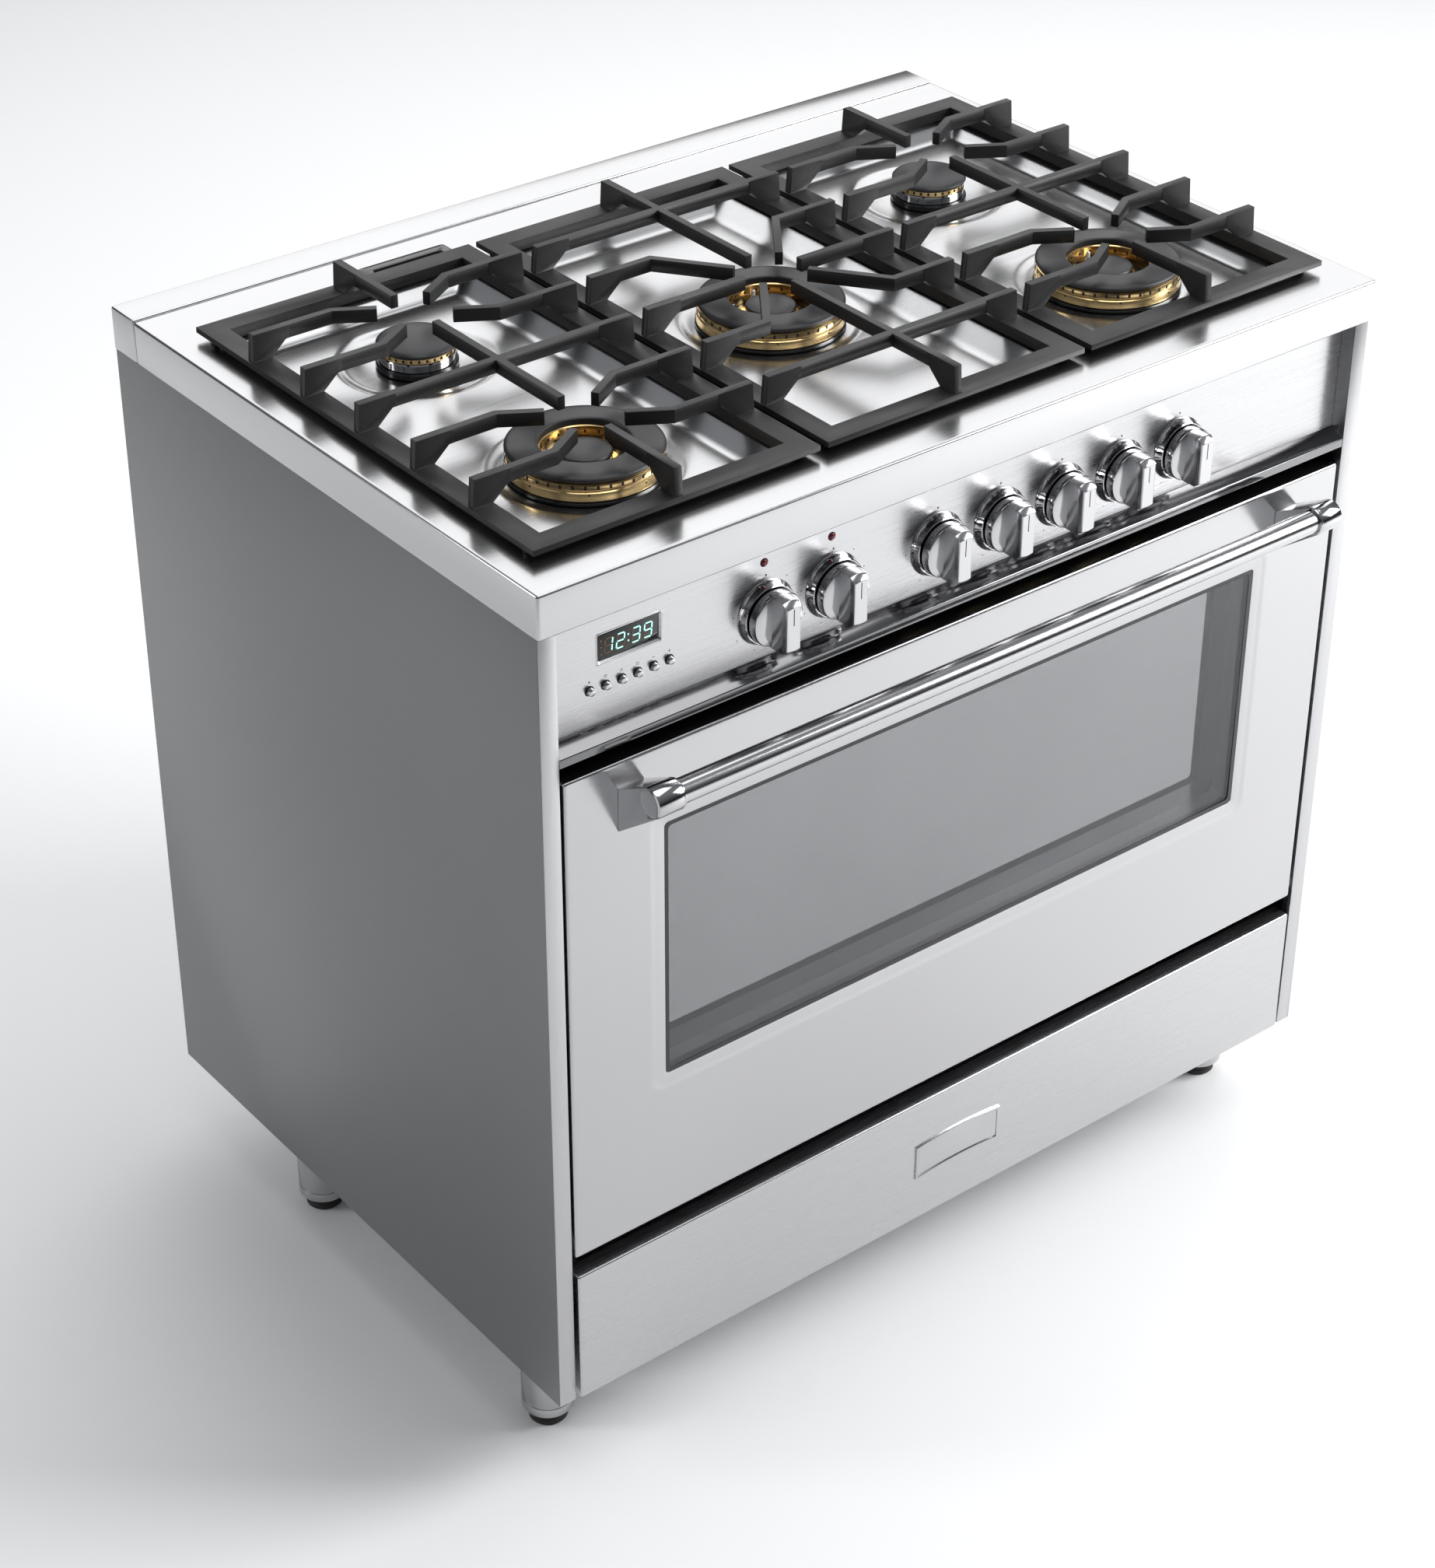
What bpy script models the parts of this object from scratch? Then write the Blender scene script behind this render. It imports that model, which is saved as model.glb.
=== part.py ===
"""Freestanding gas range, 36-inch class, built from its separate pieces.

Metres, +Z up, front towards -Y, left is -X seen from the front.  The origin is on
the floor, in the middle of the range's width and of its depth over the handle.
"""
import math

import bmesh
import bpy
from mathutils import Matrix, Vector

# ---- overall ----------------------------------------------------------------
WIDTH = 0.911             # over the cooktop apron
DEPTH = 0.6345            # apron face to the back
HEIGHT = 0.905            # floor to cooktop surface
LEG_HEIGHT = 0.0905       # floor to the bottom of the body

# ---- general sheet metal ----------------------------------------------------
GAP = 0.0003              # running or seating clearance between two pieces
SHEET = 0.0015            # folded sheet thickness

# ---- body -------------------------------------------------------------------
SIDE_INSET = 0.0012       # side panel behind the apron's side face
STILE_WIDTH = 0.0171      # front flange of a side panel
STILE_RETURN = 0.030      # flange folded back beside door and control panel
BODY_SETBACK = 0.003      # stiles and door face behind the apron face
APRON_HEIGHT = 0.039
REAR_TRIM_DEPTH = 0.0375
REAR_TRIM_RISE = 0.0015
LEG_RADIUS = 0.024
PAD_RADIUS = 0.017
PAD_HEIGHT = 0.014
LEG_INSET_X = 0.0435
LEG_INSET_FRONT = 0.083   # from the apron face
LEG_INSET_REAR = 0.1765   # from the back

# ---- control panel ----------------------------------------------------------
PANEL_RECESS = 0.015      # panel face behind the stile face
PANEL_HEIGHT = 0.1066     # visible, under the apron
PANEL_TUCK = 0.015        # hidden, behind the apron
LEDGE_DROP = 0.0075
LEDGE_LIP = 0.0080
LEDGE_RETURN = 0.012
KNOB_DROP = 0.065         # knob axes under the apron's edge
KNOB_INSET = 0.2147       # first knob from the left stile
KNOB_PITCH = 0.0695
KNOB_GROUP_STEP = 0.1115  # from the second oven knob to the first burner knob
OVEN_KNOBS = 2
BURNER_KNOBS = 5
BEZEL_RADIUS = 0.0262
BEZEL_DEPTH = 0.008
KNOB_RADIUS = 0.0245
SKIRT_DEPTH = 0.0095
GRIP_DEPTH = 0.0182
GRIP_WIDTH = 0.0155
GRIP_CHAMFER = 0.004
STEM_RADIUS = 0.004
STEM_LENGTH = 0.010       # behind the panel
CLOCK_INSET = 0.0794      # clock centre from the left stile
CLOCK_DROP = 0.0398       # clock centre under the apron's edge
CLOCK_WIDTH = 0.0605
CLOCK_HEIGHT = 0.0245
CLOCK_GLASS = 0.0025
CLOCK_SINK = 0.001
BUTTON_INSET = 0.0406     # first button from the left stile
BUTTON_DROP = 0.0735
BUTTON_PITCH = 0.0155
BUTTON_RADIUS = 0.0033
BUTTON_OUT = 0.0045
BUTTON_IN = 0.006
BUTTON_CLEARANCE = 0.0006
BUTTONS = 6

# ---- oven door --------------------------------------------------------------
DOOR_TOP_GAP = 0.0155
DOOR_SIDE_GAP = 0.0037
DRAWER_GAP = 0.020
DOOR_THICKNESS = 0.036
DOOR_SHELL_DEPTH = 0.022
WINDOW_SIDE_RAIL = 0.0979
WINDOW_TOP_RAIL = 0.0765
WINDOW_BOTTOM_RAIL = 0.1507
WINDOW_CORNER = 0.004
GLASS = 0.004
GLASS_LAP = 0.008
INNER_WINDOW_MARGIN = 0.045
HINGE_IN = 0.011          # hinge axis behind the door face and above its lower edge
HINGE_PIN_RADIUS = 0.004
HINGE_DISC_RADIUS = 0.008
HINGE_PIN_LENGTH = 0.0115
HANDLE_END_INSET = 0.073  # handle's end from the apron's side face
HANDLE_STANDOFF = 0.042   # bar axis in front of the door face
HANDLE_DROP = 0.0162      # bar axis under the door's top edge
BAR_RADIUS = 0.0107
FERRULE_RADIUS = 0.0135
FERRULE_LENGTH = 0.027
BRACKET_TOP = 0.0242      # bracket's foot on the door, under the door's top edge
BRACKET_FOOT = 0.0405
BRACKET_INSET = 0.001     # wedge sides inside the ferrule's surface

# ---- drawer -----------------------------------------------------------------
DRAWER_HEIGHT = 0.1376
DRAWER_PROUD = 0.0025     # drawer front stands out from the door face
DRAWER_SIDE_GAP = 0.0042
DRAWER_FRONT_DEPTH = 0.018
DRAWER_BOX_MARGIN = 0.037
DRAWER_BOX_HEIGHT = 0.095
DRAWER_BOX_LIFT = 0.012
DRAWER_BOX_BACK = 0.120
DRAWER_LIP_CLEARANCE = 0.003
RAIL_SHELF = 0.036

# ---- oven -------------------------------------------------------------------
GASKET = 0.004
GASKET_WIDTH = 0.010
LINER_MARGIN_TOP = 0.008
LINER_MARGIN_BOTTOM = 0.008
CAVITY_SIDE = 0.092       # cavity wall from the stile's inner edge
CAVITY_TOP = 0.035        # under the door's top edge
CAVITY_BOTTOM = 0.055     # above the door's lower edge
CAVITY_BACK = 0.100       # from the back of the range
POST_RADIUS = 0.0025
RUNG_RADIUS = 0.003
RUNG_STANDOFF = 0.0065
RUNG_LEVELS = 4
RUNG_END = 0.030
POST_END = 0.070
RACK_LEVEL = 1
RACK_RODS = 9
RACK_STANDOFF = 0.0092
RACK_FRONT = 0.032
RACK_BACK = 0.045
FAN_COVER_WIDTH = 0.30
FAN_COVER_MARGIN = 0.035
FAN_COVER_DEPTH = 0.030
FAN_SLOTS = 6
FAN_SLOT_HEIGHT = 0.008
FAN_RADIUS = 0.060
FAN_HUB_RADIUS = 0.014
FAN_HUB_LENGTH = 0.016
FAN_BLADES = 6
FAN_BLADE = 0.0016
FAN_SHAFT_RADIUS = 0.004
FAN_SHAFT_LENGTH = 0.020

# ---- cooktop ----------------------------------------------------------------
WELL_DEPTH = 0.014
WELL_RADIUS = 0.016
WELL_RUN_SIDE = 0.030     # slope of the outer wells' walls, in plan
WELL_RUN_MIDDLE = 0.038
WELL_INSET_OUTER = 0.0055  # well edge from its grate's outer side
WELL_INSET_INNER = 0.0122
WELL_INSET_FRONT = 0.0095
DISH_DEPTH = 0.0032
DISH_WALL = 0.012
DISH_LARGE = 0.083
DISH_SMALL = 0.072
GRATE_SIDE_MARGIN = 0.0271
GRATE_FRONT_MARGIN = 0.0423
GRATE_REAR_MARGIN = 0.0995
GRATE_SPACE = 0.008
RAIL_WIDTH = 0.0208
RAIL_THICKNESS = 0.005
RAIL_LIFT = 0.006         # underside of a rail above the cooktop
WEB_THICKNESS = 0.005
WEB_BOTTOM = 0.0006      # underside of a web above the cooktop
FOOT_RADIUS = 0.004
FOOT_INSET_X = 0.0075
FOOT_INSET_Y = 0.018
FINGER_TOP = 0.0355
FINGER_HEIGHT = 0.012
FINGER_WIDTH = 0.0075
FINGER_PITCH = 0.0805
FINGER_RISE = 0.002       # slant of a finger's outer end
FINGER_BEND = 0.058       # bend of a finger, from the burner's centre
FINGER_CLEAR = 0.025      # a finger's tip from the burner's centre, in X
FINGER_SWING = 0.020      # ... and in Y
GUSSET = 0.018
CENTRE_REACH = 0.031      # fingers that point straight at a burner stop here
CENTRE_BEND = 0.070

# ---- burners ----------------------------------------------------------------
NECK_RADIUS = 0.016
NECK_LENGTH = 0.014
LARGE_BASE_RADIUS = 0.0662
LARGE_CROWN_RADIUS = 0.0646
LARGE_CROWN_BORE = 0.0365
LARGE_CROWN_TOP = 0.0037
LARGE_BASE_HEIGHT = 0.007
CHANNEL_DEPTH = 0.0135
INNER_CROWN_RADIUS = 0.0215
INNER_CROWN_TOP = -0.0035
OUTER_CAP_RADIUS = 0.0652
OUTER_CAP_BORE = 0.0376
INNER_CAP_RADIUS = 0.0225
CAP_THICKNESS = 0.0055
INNER_CAP_THICKNESS = 0.0065
SMALL_BASE_RADIUS = 0.0355
SMALL_CROWN_RADIUS = 0.0330
SMALL_CROWN_TOP = 0.0025
SMALL_BASE_HEIGHT = 0.0065
SMALL_CAP_RADIUS = 0.0347
SMALL_CAP_THICKNESS = 0.0072

# ---- flue and gas pipe ------------------------------------------------------
VENT_LEFT = 0.2055        # from the left side
VENT_WIDTH = 0.0925
VENT_DEPTH = 0.040
VENT_HEIGHT = 0.0045
VENT_FRAME = 0.0105
VENT_BEHIND = 0.0125      # flue's front edge ahead of the grate's rear edge
PIPE_RADIUS = 0.008
PIPE_SETBACK = 0.046
PIPE_END = 0.035
VALVE_WIDTH = 0.018
VALVE_HEIGHT = 0.024

# ---- mesh fineness ----------------------------------------------------------
FINE = 32
MEDIUM = 24
COARSE = 12
WIRE = 8
SPARE = 0.01              # how far a cutter reaches past what it cuts

# ---- derived places ---------------------------------------------------------
HALF = WIDTH / 2
REACH = HANDLE_STANDOFF + FERRULE_RADIUS - BODY_SETBACK
FRONT = (REACH - DEPTH) / 2
BACK = FRONT + DEPTH
TOP = HEIGHT
BODY_FRONT = FRONT + BODY_SETBACK
BODY_BOTTOM = LEG_HEIGHT
BODY_TOP = TOP - APRON_HEIGHT - GAP
SIDE_FACE = HALF - SIDE_INSET
STILE_EDGE = SIDE_FACE - STILE_WIDTH
BODY_INSIDE = SIDE_FACE - SHEET - GAP
TRIM_SEAM = BACK - REAR_TRIM_DEPTH
APRON_EDGE = TOP - APRON_HEIGHT
PANEL_FACE = BODY_FRONT + PANEL_RECESS
PANEL_HALF = STILE_EDGE - GAP
LEDGE_BACK = APRON_EDGE - PANEL_HEIGHT
LEDGE_FRONT = LEDGE_BACK - LEDGE_DROP
LIP_BOTTOM = LEDGE_FRONT - LEDGE_LIP
DOOR_TOP = LIP_BOTTOM - DOOR_TOP_GAP
DRAWER_BOTTOM = BODY_BOTTOM + GAP
DRAWER_TOP = DRAWER_BOTTOM + DRAWER_HEIGHT
DOOR_BOTTOM = DRAWER_TOP + DRAWER_GAP
DOOR_HALF = STILE_EDGE - DOOR_SIDE_GAP
DOOR_BACK = BODY_FRONT + DOOR_THICKNESS
WINDOW_HALF = DOOR_HALF - WINDOW_SIDE_RAIL
WINDOW_TOP = DOOR_TOP - WINDOW_TOP_RAIL
WINDOW_BOTTOM = DOOR_BOTTOM + WINDOW_BOTTOM_RAIL
HINGE_Y = BODY_FRONT + HINGE_IN
HINGE_Z = DOOR_BOTTOM + HINGE_IN
BAR_Y = BODY_FRONT - HANDLE_STANDOFF
BAR_Z = DOOR_TOP - HANDLE_DROP
HANDLE_HALF = HALF - HANDLE_END_INSET
LINER_Y = DOOR_BACK + GASKET + 2 * GAP
CAVITY_HALF = STILE_EDGE - CAVITY_SIDE
CAVITY_CEILING = DOOR_TOP - CAVITY_TOP
CAVITY_FLOOR = DOOR_BOTTOM + CAVITY_BOTTOM
CAVITY_END = BACK - CAVITY_BACK
FAN_Z = (CAVITY_CEILING + CAVITY_FLOOR) / 2
KNOB_Z = APRON_EDGE - KNOB_DROP
PANEL_LEFT = -STILE_EDGE
WELL_FLOOR = TOP - WELL_DEPTH
DISH_FLOOR = WELL_FLOOR - DISH_DEPTH
GRATE_WIDTH = (WIDTH - 2 * GRATE_SIDE_MARGIN - 2 * GRATE_SPACE) / 3
GRATE_PITCH = GRATE_WIDTH + GRATE_SPACE
GRATE_FRONT = FRONT + GRATE_FRONT_MARGIN
GRATE_BACK = BACK - GRATE_REAR_MARGIN
GRATE_Y = (GRATE_FRONT + GRATE_BACK) / 2
BURNER_OFFSET = 1.5 * FINGER_PITCH
DRAWER_FACE = BODY_FRONT - DRAWER_PROUD
DRAWER_HALF = STILE_EDGE - DRAWER_SIDE_GAP
DRAWER_BOX_HALF = STILE_EDGE - DRAWER_BOX_MARGIN
DRAWER_BOX_FRONT = DRAWER_FACE + DRAWER_FRONT_DEPTH + GAP
DRAWER_BOX_END = BACK - DRAWER_BOX_BACK
DRAWER_FLOOR = BODY_BOTTOM + DRAWER_BOX_LIFT
DRAWER_LIP = DRAWER_FLOOR + DRAWER_BOX_HEIGHT
SHELF_TOP = DRAWER_LIP - SHEET - GAP

# name, column (-1 left, 0 middle, 1 right), row (-1 front, 0 middle, 1 rear), large
BURNERS = (
    ("rear_left", -1, 1, False),
    ("front_left", -1, -1, True),
    ("centre", 0, 0, True),
    ("rear_right", 1, 1, False),
    ("front_right", 1, -1, True),
)
GRATES = (("left", -1), ("middle", 0), ("right", 1))
CORNERS = (("front_left", -1, -1), ("front_right", 1, -1), ("rear_left", -1, 1), ("rear_right", 1, 1))


def clear_scene():
    for old in list(bpy.data.objects):
        bpy.data.objects.remove(old, do_unlink=True)


def material(name, colour, roughness, metallic):
    found = bpy.data.materials.get(name)
    if found:
        return found
    made = bpy.data.materials.new(name)
    made.use_nodes = True
    shader = made.node_tree.nodes["Principled BSDF"]
    shader.inputs["Base Color"].default_value = (*colour, 1.0)
    shader.inputs["Roughness"].default_value = roughness
    shader.inputs["Metallic"].default_value = metallic
    return made


def steel():
    return material("brushed_steel", (0.62, 0.62, 0.63), 0.32, 1.0)


def polished():
    return material("polished_steel", (0.66, 0.66, 0.67), 0.12, 1.0)


def grey_paint():
    return material("grey_paint", (0.30, 0.31, 0.32), 0.45, 0.2)


def galvanised():
    return material("galvanised_sheet", (0.52, 0.54, 0.55), 0.45, 0.9)


def enamel():
    return material("black_enamel", (0.02, 0.02, 0.022), 0.25, 0.0)


def cast_iron():
    return material("cast_iron", (0.045, 0.045, 0.048), 0.60, 0.0)


def brass():
    return material("burner_brass", (0.72, 0.52, 0.26), 0.25, 1.0)


def chrome():
    return material("chrome", (0.75, 0.75, 0.76), 0.08, 1.0)


def glass():
    return material("tinted_glass", (0.10, 0.10, 0.11), 0.05, 0.0)


def rubber():
    return material("seal_rubber", (0.03, 0.03, 0.03), 0.8, 0.0)


def collection_named(name):
    made = bpy.data.collections.get(name)
    if made is None:
        made = bpy.data.collections.new(name)
        bpy.context.scene.collection.children.link(made)
    return made


def object_from(bm, name="shape"):
    """Put a bmesh into a new object of the range's collection."""
    mesh = bpy.data.meshes.new(name)
    bmesh.ops.recalc_face_normals(bm, faces=bm.faces[:])
    bm.to_mesh(mesh)
    bm.free()
    made = bpy.data.objects.new(name, mesh)
    collection_named("gas_range").objects.link(made)
    return made


def block(x, y, z):
    """A box between three (low, high) pairs."""
    bm = bmesh.new()
    bmesh.ops.create_cube(bm, size=1.0)
    size = Vector((x[1] - x[0], y[1] - y[0], z[1] - z[0]))
    middle = Vector((x[0] + x[1], y[0] + y[1], z[0] + z[1])) / 2
    bmesh.ops.scale(bm, vec=size, verts=bm.verts)
    bmesh.ops.translate(bm, vec=middle, verts=bm.verts)
    return object_from(bm)


def rod(start, end, radius, segments=COARSE, radius_end=None):
    """A cylinder or cone between two points."""
    axis = Vector(end) - Vector(start)
    bm = bmesh.new()
    bmesh.ops.create_cone(
        bm, cap_ends=True, segments=segments, radius1=radius,
        radius2=radius if radius_end is None else radius_end, depth=axis.length)
    turn = Vector((0, 0, 1)).rotation_difference(axis).to_matrix().to_4x4()
    place = Matrix.Translation((Vector(start) + Vector(end)) / 2)
    bmesh.ops.transform(bm, matrix=place @ turn, verts=bm.verts)
    return object_from(bm)


def rounded_frustum(middle, half, run, z_top, z_bottom, radius):
    """A box with rounded upright edges whose walls slope inwards by run."""
    bm = bmesh.new()
    bmesh.ops.create_cube(bm, size=1.0)
    bmesh.ops.scale(bm, vec=(2 * half[0], 2 * half[1], 1.0), verts=bm.verts)
    upright = [e for e in bm.edges if abs(e.verts[0].co.z - e.verts[1].co.z) > 0.5]
    bmesh.ops.bevel(bm, geom=upright, offset=radius, segments=3, profile=0.5, affect="EDGES")
    for vert in bm.verts:
        low = vert.co.z < 0
        vert.co.z = z_bottom if low else z_top
        if low:
            vert.co.x *= (half[0] - run) / half[0]
            vert.co.y *= (half[1] - run) / half[1]
    bmesh.ops.translate(bm, vec=(middle[0], middle[1], 0.0), verts=bm.verts)
    return object_from(bm)


def evaluated_copy(source):
    """The mesh that an object's modifiers or curve settings give, welded."""
    graph = bpy.context.evaluated_depsgraph_get()
    graph.update()
    mesh = bpy.data.meshes.new_from_object(source.evaluated_get(graph))
    bm = bmesh.new()
    bm.from_mesh(mesh)
    bmesh.ops.remove_doubles(bm, verts=bm.verts[:], dist=0.00001)
    bmesh.ops.recalc_face_normals(bm, faces=bm.faces[:])
    bm.to_mesh(mesh)
    bm.free()
    return mesh


def turned(profile, closed=False, segments=FINE, place=None):
    """A solid of revolution about Z from (radius, height) points, top to bottom."""
    bm = bmesh.new()
    verts = [bm.verts.new((radius, 0.0, height)) for radius, height in profile]
    for first, second in zip(verts, verts[1:]):
        bm.edges.new((first, second))
    if closed:
        bm.edges.new((verts[-1], verts[0]))
    mesh = bpy.data.meshes.new("profile")
    bm.to_mesh(mesh)
    bm.free()
    spun = bpy.data.objects.new("profile", mesh)
    collection_named("gas_range").objects.link(spun)
    screw = spun.modifiers.new("turn", "SCREW")
    screw.axis = "Z"
    screw.steps = segments
    screw.render_steps = segments
    screw.use_merge_vertices = True
    screw.merge_threshold = 0.00001
    if place is not None:
        spun.matrix_world = place
    return baked(spun)


def plate(outline, thickness, place):
    """A flat outline in its own XY plane, given a thickness along its Z, then placed."""
    curve = bpy.data.curves.new("outline", "CURVE")
    curve.dimensions = "2D"
    curve.fill_mode = "BOTH"
    curve.extrude = thickness / 2
    spline = curve.splines.new("POLY")
    spline.points.add(len(outline) - 1)
    for point, (u, v) in zip(spline.points, outline):
        point.co = (u, v, 0.0, 1.0)
    spline.use_cyclic_u = True
    drawn = bpy.data.objects.new("outline", curve)
    collection_named("gas_range").objects.link(drawn)
    drawn.matrix_world = place
    return baked(drawn)


def baked(source):
    """Replace an object by a plain mesh object in world space."""
    mesh = evaluated_copy(source)
    mesh.transform(source.matrix_world)
    made = bpy.data.objects.new("shape", mesh)
    collection_named("gas_range").objects.link(made)
    bpy.data.objects.remove(source, do_unlink=True)
    return made


def folded(points, direction, length):
    """A folded sheet: a row of points swept along direction, thickened inwards."""
    bm = bmesh.new()
    sweep = Vector(direction) * length
    first = [bm.verts.new(Vector(point)) for point in points]
    second = [bm.verts.new(Vector(point) + sweep) for point in points]
    for i in range(len(points) - 1):
        bm.faces.new((first[i], first[i + 1], second[i + 1], second[i]))
    mesh = bpy.data.meshes.new("sheet")
    bm.to_mesh(mesh)
    bm.free()
    sheet = bpy.data.objects.new("sheet", mesh)
    collection_named("gas_range").objects.link(sheet)
    thick = sheet.modifiers.new("thickness", "SOLIDIFY")
    thick.thickness = SHEET
    thick.offset = -1.0
    thick.use_even_offset = True
    return baked(sheet)


def combine(base, tools, operation):
    """Join or cut base with each tool in turn; the tools are used up."""
    for tool in tools:
        joint = base.modifiers.new("combine", "BOOLEAN")
        joint.operation = operation
        joint.solver = "EXACT"
        joint.object = tool
        mesh = evaluated_copy(base)
        base.modifiers.clear()
        base.data = mesh
        bpy.data.objects.remove(tool, do_unlink=True)
    return base


def joined(pieces):
    return combine(pieces[0], pieces[1:], "UNION")


def cut(base, tools):
    return combine(base, tools, "DIFFERENCE")


def finish(shape, name, finish_material, pivot=(0.0, 0.0, 0.0), smooth=False):
    """Name the piece, give it its material and set its origin on its pivot."""
    shape.name = name
    shape.data.name = name
    shape.data.transform(Matrix.Translation(-Vector(pivot)))
    shape.location = pivot
    shape.data.materials.clear()
    shape.data.materials.append(finish_material)
    if smooth:
        shape.data.shade_smooth()
        shape.data.set_sharp_from_angle(angle=math.radians(35))
    return shape


def shell(x, y, z, open_side):
    """A box of sheet with one side left open: 'front', 'back', 'top' or 'bottom'."""
    outside = block(x, y, z)
    inner_x = (x[0] + SHEET, x[1] - SHEET)
    inner_y = [y[0] + SHEET, y[1] - SHEET]
    inner_z = [z[0] + SHEET, z[1] - SHEET]
    if open_side == "front":
        inner_y[0] = y[0] - SPARE
    if open_side == "back":
        inner_y[1] = y[1] + SPARE
    if open_side == "top":
        inner_z[1] = z[1] + SPARE
    if open_side == "bottom":
        inner_z[0] = z[0] - SPARE
    return cut(outside, [block(inner_x, inner_y, inner_z)])


def both(value):
    return (-value, value)


# ---- body -------------------------------------------------------------------
def make_side_panels():
    for name, side in (("left", -1), ("right", 1)):
        points = [
            (side * STILE_EDGE, BODY_FRONT + STILE_RETURN, BODY_BOTTOM),
            (side * STILE_EDGE, BODY_FRONT, BODY_BOTTOM),
            (side * SIDE_FACE, BODY_FRONT, BODY_BOTTOM),
            (side * SIDE_FACE, BACK, BODY_BOTTOM),
        ]
        if side < 0:
            points.reverse()
        sheet = folded(points, (0, 0, 1), BODY_TOP - BODY_BOTTOM)
        finish(sheet, "side_panel_" + name, grey_paint())


def make_back_panel():
    sheet = block(both(BODY_INSIDE), (BACK - SHEET, BACK), (BODY_BOTTOM + SHEET + GAP, BODY_TOP))
    pipe = pipe_corner()
    hole = rod((pipe.x, BACK - SPARE, pipe.z), (pipe.x, BACK + SPARE, pipe.z), PIPE_RADIUS + GAP)
    finish(cut(sheet, [hole]), "back_panel", galvanised())


def make_base_pan():
    """Floor of the body; its folded-in shelves carry the drawer's lips."""
    y = BODY_FRONT + STILE_RETURN + GAP
    shelf = BODY_INSIDE - RAIL_SHELF
    points = [
        (shelf, y, SHELF_TOP),
        (BODY_INSIDE, y, SHELF_TOP),
        (BODY_INSIDE, y, BODY_BOTTOM),
        (-BODY_INSIDE, y, BODY_BOTTOM),
        (-BODY_INSIDE, y, SHELF_TOP),
        (-shelf, y, SHELF_TOP),
    ]
    finish(folded(points, (0, 1, 0), BACK - SHEET - GAP - y), "base_pan", galvanised())


def make_feet():
    chamfer = 0.002
    for name, side, row in CORNERS:
        x = side * (HALF - LEG_INSET_X)
        y = FRONT + LEG_INSET_FRONT if row < 0 else BACK - LEG_INSET_REAR
        profile = [
            (0.0, BODY_BOTTOM - GAP),
            (LEG_RADIUS, BODY_BOTTOM - GAP),
            (LEG_RADIUS, PAD_HEIGHT + chamfer),
            (LEG_RADIUS - chamfer, PAD_HEIGHT),
            (PAD_RADIUS, PAD_HEIGHT),
            (PAD_RADIUS, chamfer),
            (PAD_RADIUS - chamfer, 0.0),
            (0.0, 0.0),
        ]
        leg = turned(profile, segments=MEDIUM, place=Matrix.Translation((x, y, 0.0)))
        finish(leg, "foot_" + name, steel(), smooth=True)


# ---- control panel ----------------------------------------------------------
def knob_places():
    """X of every knob, from the left."""
    first = PANEL_LEFT + KNOB_INSET
    places = [first + i * KNOB_PITCH for i in range(OVEN_KNOBS)]
    start = places[-1] + KNOB_GROUP_STEP
    places += [start + i * KNOB_PITCH for i in range(BURNER_KNOBS)]
    return places


def button_places():
    return [PANEL_LEFT + BUTTON_INSET + i * BUTTON_PITCH for i in range(BUTTONS)]


def clock_box(spare, y):
    x = PANEL_LEFT + CLOCK_INSET
    z = APRON_EDGE - CLOCK_DROP
    wide = CLOCK_WIDTH / 2 + spare
    high = CLOCK_HEIGHT / 2 + spare
    return block((x - wide, x + wide), y, (z - high, z + high))


def make_control_panel():
    """The recessed fascia; the seven knob bezels are part of it."""
    face = block(
        both(PANEL_HALF), (PANEL_FACE, PANEL_FACE + SHEET), (LEDGE_BACK + GAP, APRON_EDGE + PANEL_TUCK))
    bezels = [
        rod(
            (x, PANEL_FACE + SHEET / 2, KNOB_Z), (x, PANEL_FACE - BEZEL_DEPTH, KNOB_Z),
            BEZEL_RADIUS, MEDIUM)
        for x in knob_places()
    ]
    combine(face, bezels, "UNION")
    through = (PANEL_FACE - 2 * BEZEL_DEPTH, PANEL_FACE + 2 * BEZEL_DEPTH)
    holes = [
        rod((x, through[0], KNOB_Z), (x, through[1], KNOB_Z), STEM_RADIUS + GAP) for x in knob_places()
    ]
    z = APRON_EDGE - BUTTON_DROP
    holes += [
        rod((x, through[0], z), (x, through[1], z), BUTTON_RADIUS + BUTTON_CLEARANCE)
        for x in button_places()
    ]
    holes.append(clock_box(0.0, through))
    finish(cut(face, holes), "control_panel", steel(), smooth=True)


def make_clock():
    y = (PANEL_FACE + CLOCK_SINK, PANEL_FACE + CLOCK_SINK + CLOCK_GLASS)
    finish(clock_box(-GAP, y), "clock_window", glass())


def make_ledge():
    """Sloped ledge under the control panel, with a lip over the door."""
    lip_back = BODY_FRONT + LEDGE_RETURN
    points = [
        (-PANEL_HALF, PANEL_FACE + LEDGE_RETURN, LEDGE_BACK),
        (-PANEL_HALF, PANEL_FACE, LEDGE_BACK),
        (-PANEL_HALF, BODY_FRONT, LEDGE_FRONT),
        (-PANEL_HALF, BODY_FRONT, LIP_BOTTOM),
        (-PANEL_HALF, lip_back, LIP_BOTTOM),
    ]
    finish(folded(points, (1, 0, 0), 2 * PANEL_HALF), "panel_ledge", polished())


def facing_front(x, y, z):
    """Turns a shape made about +Z so that +Z points to the front, at a place."""
    return Matrix.Translation((x, y, z)) @ Matrix.Rotation(math.radians(90), 4, "X")


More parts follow.
